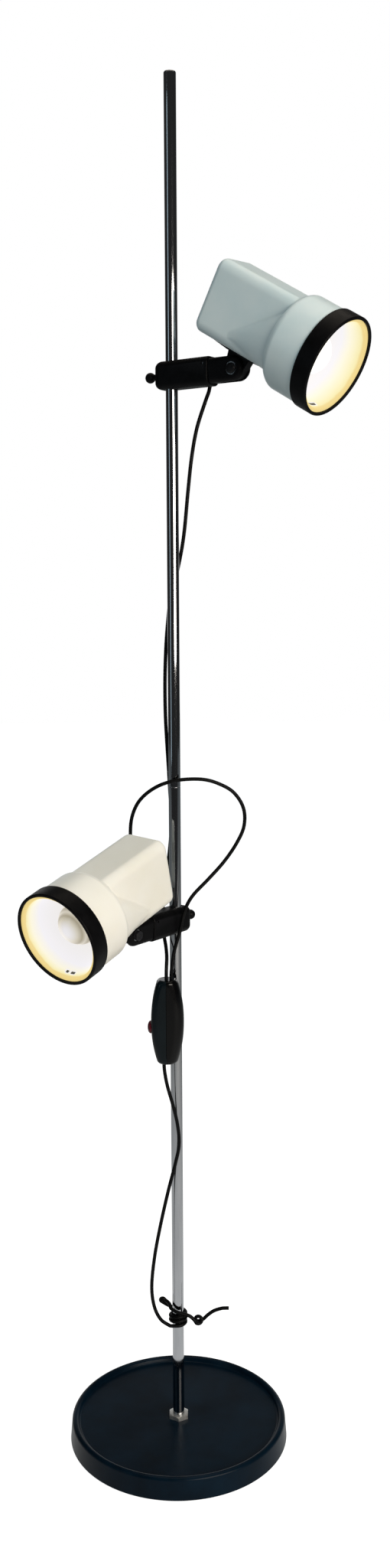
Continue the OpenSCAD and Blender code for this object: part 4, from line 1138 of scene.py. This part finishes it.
bulb = {
    "diameter": 45, "middle": 68, "capD": 26, "capX": 22.5, "capL": 24, "threads": 6, "threadPitch": 3,
    "tip": [(0, -2), (5, -2), (9, -0.5)],      # radius, up from the cap
    "thread": [(-0.9, 1), (0, 1.9), (0, 2.3), (-0.9, 3.2)],      # out from the cap's side, up from the cap
    "neck": [(-0.8, -3), (-0.6, 0), (0.6, 3)],      # out from the cap's side, up from the cap's end
    "shoulder": (2.4, -17),      # out from the cap's side, up from the globe's middle
    "globeFrom": -52,
}
bracket = {
    "back": -30, "front": 34, "tip": 1.5, "thick": 3, "width": 24, "floor": 17.5, "eyeR": 11, "tongueW": 10.6,
    "boltD": 6.12, "flat": 12, "edge": 0.6, "rounding": (0.1, 0.9, 5, 5, 0.9, 0.1), "eyeSpread": 3.2,
}
bracketScrew = {"headD": 7, "headH": 2, "shankD": 3.5, "length": 7.5, "seatZ": 16, "seatD": 8}


def roundBoth(a, b, r):
    # inside both shapes, their meeting edge rounded; distances are negative inside
    return np.hypot(np.maximum(a + r, 0), np.maximum(b + r, 0)) + np.minimum(np.maximum(a, b), -r)


def eitherSoft(a, b, k):
    # inside either shape, with a small fillet where they meet
    h = np.maximum(k - np.abs(a - b), 0) / k
    return np.minimum(a, b) - h * h * k / 4


def headForm(s, f, y, u):
    # distance to the outside of the housing: a square box, flares that widen its sides, and a round barrel
    qy = np.abs(y) - s["boxW"] / 2 + s["edgeR"]
    qu = np.abs(u - s["boxMid"]) - s["boxH"] / 2 + s["edgeR"]
    box = np.hypot(np.maximum(qy, 0), np.maximum(qu, 0)) + np.minimum(np.maximum(qy, qu), 0) - s["edgeR"]
    box = roundBoth(box, s["back"] - f, s["rearR"])
    t = np.clip((f - s["flareX"]) / (s["barrelX"] + s["shoulderR"] - s["flareX"]), 0, 1)
    halfY = s["boxW"] / 2 * (1 - t)
    halfU = (s["flareHigh"] - s["flareLow"]) / 2 * (1 - t)
    mid = (s["flareHigh"] + s["flareLow"]) / 2 * (1 - t) + s["axis"] * t
    wy, wu = np.abs(y) - halfY, np.abs(u - mid) - halfU
    flare = np.hypot(np.maximum(wy, 0), np.maximum(wu, 0)) + np.minimum(np.maximum(wy, wu), 0)
    flare = flare - s["flareR"] * t
    flare = roundBoth(flare, s["boxMid"] - s["boxH"] / 2 - u, s["floorR"])
    flare = np.maximum(flare, s["flareX"] - f)
    barrel = roundBoth(np.hypot(y, u - s["axis"]) - s["barrelR"], s["barrelX"] - f, s["shoulderR"])
    return eitherSoft(eitherSoft(box, flare, s["blend"]), barrel, s["blend"])


def headRings(s, stations, level):
    # rings of the surface where headForm is at that level, one for each station
    angles = np.linspace(0, 2 * math.pi, s["around"], endpoint=False)
    f, a = np.meshgrid(stations, angles, indexing="ij")
    near, far = np.zeros_like(f), np.full_like(f, s["rayReach"])
    for halving in range(40):
        middle = (near + far) / 2
        inside = headForm(s, f, middle * np.cos(a), s["rayMid"] + middle * np.sin(a)) < level
        near, far = np.where(inside, middle, near), np.where(inside, far, middle)
    return np.stack([f, near * np.cos(a), s["rayMid"] + near * np.sin(a)], axis=2)


def housingStations(s, back, rear):
    # closer together where the form bends
    bend = [back + rear * (1 - math.cos(math.radians(a))) for a in (0, 12, 24, 36, 48, 60, 70, 80, 90)]
    flareFrom, shoulderFrom = s["flareX"] - 3, s["barrelX"] - 3
    shoulderTo = s["barrelX"] + s["shoulderR"] + 2
    stations = bend
    for start, end, step in (
        (back + rear + 4, flareFrom, s["plainStep"]),
        (flareFrom, shoulderFrom, s["flareStep"]),
        (shoulderFrom, shoulderTo, s["shoulderStep"]),
    ):
        stations = stations + np.arange(start, end, step).tolist()
    return stations + np.linspace(60, s["seat"], 7).tolist()


def makeHousing(name, lamp, s, slots):
    back, wall = s["back"] + 1e-4, s["wall"]
    outer = headRings(s, housingStations(s, back, s["rearR"]), 0)
    inner = headRings(s, housingStations(s, s["back"] + wall + 1e-4, s["rearR"] - wall), -wall)
    body = loft(name + "Housing", np.concatenate([outer, inner[::-1]]))
    floor = s["boxMid"] - s["boxH"] / 2
    vents = grow("vents", slots, {
        "count": s["ventCount"], "pitch": s["ventPitch"] * mm, "width": s["ventW"] * mm,
        "height": s["ventH"] * mm, "depth": (wall + 4 * over) * mm})
    row = (s["ventCount"] - 1) * s["ventPitch"] / 2
    standing = Matrix(((0, 0, 1, 0), (1, 0, 0, 0), (0, 1, 0, 0), (0, 0, 0, 1)))   # the row along Y, upright
    move(vents, at(x=s["back"] - 2 * over, y=-row, z=s["boxMid"]) @ standing)
    holes = [(s["cordHoleD"], s["cordHoleX"])] + [(s["screwD"], x) for x in s["screwX"]]
    cutters = [vents] + [move(rod(d, wall + 2 * over), at(x=x, z=floor - over)) for d, x in holes]
    cut(body, cutters)
    move(body, headPlace(lamp))
    dress(body, name + "White", name + "_head", (name + "_housing",), sharp=42)


def onHeadAxis(lamp):
    return headPlace(lamp) @ at(z=head["axis"]) @ alongX


def makeFrontRing(name, lamp, s):
    front, back = head["front"], head["front"] - s["length"]
    seat = front - s["lip"]
    corners = [
        (s["boreR"], back), (s["outerR"], back), (s["outerR"], front), (s["openingR"], front),
        (s["openingR"], seat), (s["boreR"], seat)]
    outline = roundCorners(corners, s["rounding"], 5)
    made = move(lathe(name + "FrontRing", outline, 160), onHeadAxis(lamp))
    dress(made, "nylon", name + "_head", (name + "_front_ring",), sharp=50)


def markAlong(obj, lamp, start, end):
    # keeps each point's share of the way along the head, for the material
    back = headPlace(lamp).inverted()
    values = [((back @ v.co).x / mm - start) / (end - start) for v in obj.data.vertices]
    mark = obj.data.attributes.new("along", "FLOAT", "POINT")
    mark.data.foreach_set("value", values)


def pressSlots(obj, lamp, s):
    # two short slots pressed into the bowl's lower side near its rim, and painted black as the shade in them
    place = headPlace(lamp)
    back = place.inverted()
    marks = obj.data.attributes["along"].data
    for mark, v in zip(marks, obj.data.vertices):
        x, y, u = (back @ v.co) / mm
        t = math.sqrt(max(0, (x - s["backX"]) / (head["seat"] - s["backX"])))
        bowlR = s["backR"] + (s["frontR"] - s["backR"]) * t
        down = head["axis"] - u
        radius = math.hypot(y, down)
        across = abs(abs(y - s["slotY"]) - s["slotPitch"] / 2)
        inSlot = abs(x - s["slotX"]) < s["slotW"] / 2 and across < s["slotL"] / 2
        if down > 0 and inSlot and radius < bowlR + s["slotReach"]:
            mark.value = s["slotPaintedShade"]
            grown = 1 + s["slotDepth"] / radius
            v.co = place @ (Vector((x, y * grown, head["axis"] - down * grown)) * mm)


def makeReflector(name, lamp, s, bowl):
    seat = head["seat"]
    made = grow(name + "Reflector", bowl, {
        "backRadius": s["backR"] * mm, "frontRadius": s["frontR"] * mm, "backX": s["backX"] * mm,
        "depth": (seat - s["backX"]) * mm, "rings": s["rings"], "segments": s["segments"]})
    wall = made.modifiers.new("wall", "SOLIDIFY")
    wall.thickness = s["wall"] * mm
    wall.offset = 1
    settle(made)
    inner, outer = s["frontR"] - s["rim"]["join"], head["barrelR"] - s["rim"]["gap"]
    rim = lathe("rim", [(inner, seat - s["rim"]["under"]), (outer, seat + s["rim"]["rise"]),
                        (outer, seat + s["rim"]["top"]), (inner, seat + s["rim"]["top"])], 128)
    cut(made, [move(rim, alongX)], "UNION")
    move(made, headPlace(lamp) @ at(z=head["axis"]))
    markAlong(made, lamp, s["backX"], seat)
    pressSlots(made, lamp, s)
    dress(made, name + "Reflector", name + "_head", (name + "_reflector",), sharp=40)


def shifted(points, x, z):
    return [(x + dx, z + dz) for dx, dz in points]


def makeHolder(name, lamp, s):
    r, low, high = s["diameter"] / 2, s["startX"], s["startX"] + s["length"]
    cap, edge = s["capD"] / 2, s["mouthEdge"]
    nipple = shifted(s["nipple"], s["nippleD"] / 2, low)
    floor = low + s["depth"]
    outline = [(s["wireR"], nipple[0][1])] + nipple
    outline += shifted(s["body"], r, low) + shifted(s["mouth"], r, high)
    outline += [(cap + edge, high), (cap, high - edge), (cap, floor), (s["wireR"], floor)]
    made = move(lathe(name + "LampHolder", outline, 96), onHeadAxis(lamp))
    dress(made, "porcelain", name + "_head", (name + "_lamp_holder",))


def makeBulb(name, lamp, s):
    r, cap, x = s["diameter"] / 2, s["capD"] / 2, s["capX"]
    outline = shifted(s["tip"], 0, x) + [(cap - 1, x)]
    for k in range(s["threads"]):
        outline += shifted(s["thread"], cap, x + k * s["threadPitch"])
    outline += shifted(s["neck"], cap, x + s["capL"]) + shifted([s["shoulder"]], cap, s["middle"])
    outline += arc((0, s["middle"]), r, s["globeFrom"], 90, 26)[:-1] + [(0, s["middle"] + r)]
    made = move(lathe(name + "Bulb", outline, 64, closed=False), onHeadAxis(lamp))
    markAlong(made, lamp, 0, 100)
    dress(made, name + "Bulb", name + "_head", (name + "_bulb",), sharp=None)


def makeBracket(name, lamp, s):
    floor, under = s["floor"], s["floor"] - s["thick"]
    corners = [
        (s["back"], floor), (s["back"], floor - s["tip"]), (-s["flat"], under), (s["flat"], under),
        (s["front"], floor - s["tip"]), (s["front"], floor)]
    outline = roundCorners(corners, s["rounding"], 5)
    wedge = prism(name + "Bracket", outline, -s["width"] / 2, s["width"] / 2)
    bevel(wedge, s["edge"], 3, 60)
    r, foot = s["eyeR"], s["eyeR"] + s["eyeSpread"]
    eye = arc((0, 0), r, 180, 360, 36) + [[foot, under + 2], [-foot, under + 2]]
    tongue = prism("tongue", eye, -s["tongueW"] / 2, s["tongueW"] / 2)
    cut(wedge, [tongue], "UNION")
    cutters = [
        move(rod(s["boltD"], s["tongueW"] + 2 * over), at(y=-s["tongueW"] / 2 - over) @ alongY),
        move(rod(head["cordHoleD"], floor + over), at(x=head["cordHoleX"], z=1)),
    ]
    for x in head["screwX"]:
        cutters.append(move(rod(bracketScrew["seatD"], bracketScrew["seatZ"]), at(x=x)))
        cutters.append(move(rod(head["screwD"], floor + over), at(x=x)))
    cut(wedge, cutters)
    move(wedge, headPlace(lamp))
    dress(wedge, "nylon", name + "_head", (name + "_bracket",), sharp=30)


screwForm = {
    "dome": [(0.45, 0.12), (0.8, 0.5)],      # share of the head's radius, down from its top
    "side": (0.7, 0.2), "edge": 0.2,      # the ends of the head's side over its seat
    "point": (1, 0.8),      # length, and in from the shank
    "slotW": 0.8, "slotDepth": 0.9,
}


def screwModel(s, form=screwForm):
    # a round-headed screw that points up, with a slot across its head
    r, shank, top = s["headD"] / 2, s["shankD"] / 2, -s["headH"]
    dome = [(r * share, top + down) for share, down in form["dome"]]
    side = [(r, -z) for z in form["side"]]
    pointL, pointIn = form["point"]
    body = lathe("screwModel", [
        (0, top), *dome, *side, (r - form["edge"], 0), (shank, 0), (shank, s["length"] - pointL),
        (shank - pointIn, s["length"]), (0, s["length"])], 40, closed=False)
    reach, low, high = r + over, top - over, top + form["slotDepth"]
    slot = prism("slot", [(-reach, low), (reach, low), (reach, high), (-reach, high)],
                 -form["slotW"] / 2, form["slotW"] / 2)
    return cut(body, [slot])


def makeBracketScrews(name, lamp, s, tree):
    gap = head["screwX"][1] - head["screwX"][0]
    row = grow(name + "BracketScrews", tree, {"count": 2, "pitch": gap * mm})
    move(row, headPlace(lamp) @ at(x=head["screwX"][0], z=s["seatZ"]))
    dress(row, "blackened", name + "_head", (name + "_bracket_screws",))


slotRow, bowl = slotTree(), bowlTree()
screw = screwModel(bracketScrew)
screwRow = screwTree(screw)
for name, lamp in lamps.items():
    makeHousing(name, lamp, head, slotRow)
    makeFrontRing(name, lamp, frontRing)
    makeReflector(name, lamp, reflector, bowl)
    makeHolder(name, lamp, holder)
    makeBulb(name, lamp, bulb)
    makeBracket(name, lamp, bracket)
    makeBracketScrews(name, lamp, bracketScrew, screwRow)
    print(name, "head made")
bpy.data.objects.remove(screw)


switch = {
    "height": 94, "width": 36, "endWidth": 21, "depth": 25, "leftEdge": 7, "rightEdge": 11.5,
    "endR": 4, "topR": 3, "split": -1.3, "groove": 0.35, "wall": 2, "hollow": 27,
    "bowPower": 2.2, "bowRings": 25, "holePlay": 0.3,
    "buttonD": 14, "buttonPlay": 0.15, "buttonZ": -7, "buttonOut": 4, "crown": 3.3, "flangeD": 17,
    "flangeT": 1.5, "flangeGap": 0.3,
    "screwZ": 36, "screwY": 4, "screwX": 10, "wellD": 6.3, "wellDepth": 2.1, "wellL": 20,
}
caseScrew = {"headD": 6, "headH": 2, "shankD": 3, "length": 14}


def caseRings(s, margin, half, edge):
    # stations up the case: its sides bow out at the middle, and its ends are rounded
    rings = []
    top = s["height"] / 2
    bend = [half - s["endR"] * (1 - math.sin(math.radians(a))) for a in (90, 72, 54, 36, 18, 0)]
    sides = np.linspace(-half + s["endR"], half - s["endR"], s["bowRings"]).tolist()
    for z in sorted({-z for z in bend} | set(bend) | set(sides)):
        bow = 1 - abs(z / top) ** s["bowPower"]
        reach = s["endWidth"] / 2 + (s["width"] - s["endWidth"]) / 2 * bow - margin
        over = max(0, abs(z) - (half - s["endR"]))
        inset = s["endR"] - math.sqrt(max(0, s["endR"] ** 2 - over ** 2))
        across, deep = reach - inset * s["topR"] / s["endR"], s["depth"] / 2 - margin - inset
        section = rounded(across, deep, min(edge - margin, across - 0.5, deep - 0.5), 12)
        rings.append([(x, y, z) for x, y in section])
    return rings


def halfBlock(s, side):
    # the space beyond the parting plane, which is cut away from the other half
    edge = s["split"] + side * s["groove"] / 2
    far = side * s["width"]
    outline = [(edge, -s["height"]), (far, -s["height"]), (far, s["height"]), (edge, s["height"])]
    return prism("block", outline, -s["depth"], s["depth"])


def makeSwitchHalf(name, side, look, node, s):
    place = at(*cords["switchAt"])
    half = s["height"] / 2
    edge = s["leftEdge"] if side < 0 else s["rightEdge"]
    body = loft(name, caseRings(s, 0, half, edge))
    hollow = loft("hollow", caseRings(s, s["wall"], s["hollow"], edge))
    cutters = [halfBlock(s, -side), hollow]
    ends = [(cords["leadX"]["upper"], 1), (cords["leadX"]["lower"], 1), (cords["mainsX"], -1)]
    for x, end in ends:
        low = half - cords["socket"] if end > 0 else -half - over
        cutters.append(move(rod(cords["diameter"] + s["holePlay"], cords["socket"] + over), at(x=x, z=low)))
    button = rod(s["buttonD"] + s["buttonPlay"], s["width"], segments=96)
    cutters.append(move(button, at(x=-s["width"], z=s["buttonZ"]) @ alongX))
    if side > 0:
        for z in (-s["screwZ"], s["screwZ"]):
            well = at(x=s["screwX"] - s["wellDepth"], y=s["screwY"], z=z) @ alongX
            cutters.append(move(rod(s["wellD"], s["wellL"]), well))
    cut(body, cutters)
    move(body, place)
    dress(body, look, "stand", (node,), sharp=35)


def makeButton(s):
    r, out = s["buttonD"] / 2, s["width"] / 2 + s["buttonOut"]
    flangeX = -s["width"] / 2 + s["wall"] + s["flangeT"] + s["flangeGap"]
    length = flangeX + out
    turn = [math.radians(k * 9) for k in range(11)]
    crown = [(r * math.sin(a), s["crown"] * (1 - math.cos(a))) for a in turn]
    outline = crown + [(r, length - s["flangeT"]),
                       (s["flangeD"] / 2, length - s["flangeT"]), (s["flangeD"] / 2, length), (0, length)]
    made = lathe("switchButton", outline, 72, closed=False)
    move(made, at(*cords["switchAt"]) @ at(x=-out, z=s["buttonZ"]) @ alongX)
    dress(made, "red", "switch_key", ("switch_button",), sharp=50)


def makeSwitchScrews(s):
    model = screwModel(caseScrew)
    row = grow("switchScrews", screwTree(model), {"count": 2, "pitch": 2 * s["screwZ"] * mm})
    upright = Matrix(((0, 0, -1, 0), (0, 1, 0, 0), (1, 0, 0, 0), (0, 0, 0, 1)))   # the row along Z
    move(row, at(*cords["switchAt"]) @ at(x=s["screwX"] - 2, y=s["screwY"], z=-s["screwZ"]) @ upright)
    dress(row, "zinc", "stand", ("switch_screws",))
    bpy.data.objects.remove(model)


# the left half's material is tinted blue as painted cool shade
makeSwitchHalf("switchLeftHalf", -1, "paintedShadeAbs", "switch_left_half", switch)
makeSwitchHalf("switchRightHalf", 1, "glossAbs", "switch_right_half", switch)
makeButton(switch)
makeSwitchScrews(switch)
print("switch made")


keptLooks = {
    "base_weight": "iron", "base_pad": "felt", "foot_stud": "zinc", "foot_washer": "zinc",
    "foot_lock_nut": "zinc", "pole_coupler": "zinc", "switch_contacts": "contacts",
}
keptOnLamps = {
    "liner": "liner", "clamp_insert": "brass", "arm_pin": "zinc", "clamp_screw": "zinc",
    "tilt_washers": "zinc", "holder_plate": "zinc",
}
for name in lamps:
    keptLooks.update({name + "_" + part: look for part, look in keptOnLamps.items()})
for node, look in keptLooks.items():
    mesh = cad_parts[node].data
    mesh.materials.clear()
    mesh.materials.append(looks[look])
print("kept nodes dressed:", len(keptLooks))


studio = {
    "floorFront": -2.2, "floorBack": 9, "floorSide": 7,      # metres
    "paper": "#a8a8a8", "lift": 0.95,
    # how the paper's glow in the chrome falls off: nearest place in metres and glow, farthest and glow
    "mirrored": (0.2, 0.52, 1.5, 0.04),
    "fill": 0.34, "fillColour": "#d6e6ec",
    "backdropTop": (0.34, 0.5),      # the sines of the heights where the white behind the lamp ends
    "backdropSide": (0.7, 0.95),
    "roomGlow": (0.03, 0.04),      # what is left of the white in front of the lamp, and above it
    "lamps": [
        # place, aim, size in metres, power, colour
        {"name": "key", "place": (1.7, -2.5, 1.34), "aim": (0, 0, 0.95), "size": (2.0, 1.2), "power": 76,
         "colour": "#fff6ea"},
        {"name": "leftFill", "place": (-2.4, -1.6, 1.4), "aim": (0, 0, 0.9), "size": (0.5, 2.0), "power": 4,
         "colour": "#cfe6f2"},
        {"name": "top", "place": (0.2, 0.4, 3.4), "aim": (0, 0, 0), "size": (2.2, 2.2), "power": 22,
         "colour": "#fff4e4"},
    ],
}


def makeFloor(s):
    x, low, high = s["floorSide"], s["floorFront"], s["floorBack"]
    mesh = bpy.data.meshes.new("floor")
    mesh.from_pydata([(-x, low, 0), (x, low, 0), (x, high, 0), (-x, high, 0)], [], [[0, 1, 2, 3]])
    floor = bpy.data.objects.new("floor", mesh)
    bpy.context.scene.collection.objects.link(floor)
    # white paper: pale to the light, and white to the eye and in the chrome, with the lamp's soft shadow kept
    look, tree, shader = startLook("whitePaper", s["paper"], 0.9)
    shader.inputs["Specular IOR Level"].default_value = 0.1
    seen = addNode(tree, "ShaderNodeLightPath")
    spot = addNode(tree, "ShaderNodeTexCoord")
    far = addNode(tree, "ShaderNodeVectorMath", {"operation": "LENGTH"}, {0: spot.outputs["Object"]})
    near, bright, end, dim = s["mirrored"]
    glow = addNode(tree, "ShaderNodeMapRange", inputs={
        "Value": far.outputs["Value"], "From Min": near, "From Max": end, "To Min": bright, "To Max": dim})
    gloss = addNode(tree, "ShaderNodeMath", {"operation": "MULTIPLY"}, {
        0: seen.outputs["Is Glossy Ray"], 1: glow.outputs[0]})
    lift = addNode(tree, "ShaderNodeMath", {"operation": "MULTIPLY_ADD"}, {
        0: seen.outputs["Is Camera Ray"], 1: s["lift"], 2: gloss.outputs[0]})
    shader.inputs["Emission Color"].default_value = (1, 1, 1, 1)
    tree.links.new(lift.outputs[0], shader.inputs["Emission Strength"])
    mesh.materials.append(look)


def makeWorld(s):
    world = bpy.data.worlds.new("studio")
    bpy.context.scene.world = world
    world.use_nodes = True
    tree = world.node_tree
    tree.nodes.clear()
    path = addNode(tree, "ShaderNodeLightPath")
    spot = addNode(tree, "ShaderNodeTexCoord")
    parts = addNode(tree, "ShaderNodeSeparateXYZ", inputs={0: spot.outputs["Generated"]})
    # white paper stands behind the lamp; the room above and in front is dark, which is what chrome shows
    behind = addNode(tree, "ShaderNodeMapRange", {"interpolation_type": "SMOOTHSTEP"}, {
        "Value": parts.outputs["Y"], "From Min": s["backdropSide"][0], "From Max": s["backdropSide"][1],
        "To Min": s["roomGlow"][0], "To Max": 1.0})
    below = addNode(tree, "ShaderNodeMapRange", {"interpolation_type": "SMOOTHSTEP"}, {
        "Value": parts.outputs["Z"], "From Min": s["backdropTop"][0], "From Max": s["backdropTop"][1],
        "To Min": 1.0, "To Max": s["roomGlow"][1]})
    dark = addNode(tree, "ShaderNodeMath", {"operation": "MINIMUM"}, {
        0: behind.outputs[0], 1: below.outputs[0]})
    fill, white, room = (
        addNode(tree, "ShaderNodeBackground", inputs={"Color": colour, "Strength": strength}).outputs[0]
        for colour, strength in (
            (paint(s["fillColour"]), s["fill"]), ((1, 1, 1, 1), 1.0), ((1, 1, 1, 1), dark.outputs[0])))
    gloss = addNode(tree, "ShaderNodeMixShader", inputs={0: path.outputs["Is Glossy Ray"], 1: fill, 2: room})
    clear = addNode(tree, "ShaderNodeMath", {"operation": "MAXIMUM"}, {
        0: path.outputs["Is Camera Ray"], 1: path.outputs["Is Transmission Ray"]})
    shown = addNode(tree, "ShaderNodeMixShader", inputs={0: clear.outputs[0], 1: gloss.outputs[0], 2: white})
    addNode(tree, "ShaderNodeOutputWorld", inputs={"Surface": shown.outputs[0]})


def makeLamps(s):
    for lamp in s["lamps"]:
        light = bpy.data.lights.new(lamp["name"], "AREA")
        light.shape = "RECTANGLE"
        light.size, light.size_y = lamp["size"]
        light.energy = lamp["power"]
        light.color = paint(lamp["colour"])[:3]
        made = bpy.data.objects.new(lamp["name"], light)
        bpy.context.scene.collection.objects.link(made)
        made.location = lamp["place"]
        towards = Vector(lamp["aim"]) - Vector(lamp["place"])
        made.rotation_euler = towards.to_track_quat("-Z", "Y").to_euler()


makeFloor(studio)
makeWorld(studio)
makeLamps(studio)
bpy.context.scene.view_settings.view_transform = "Standard"
print("studio made")
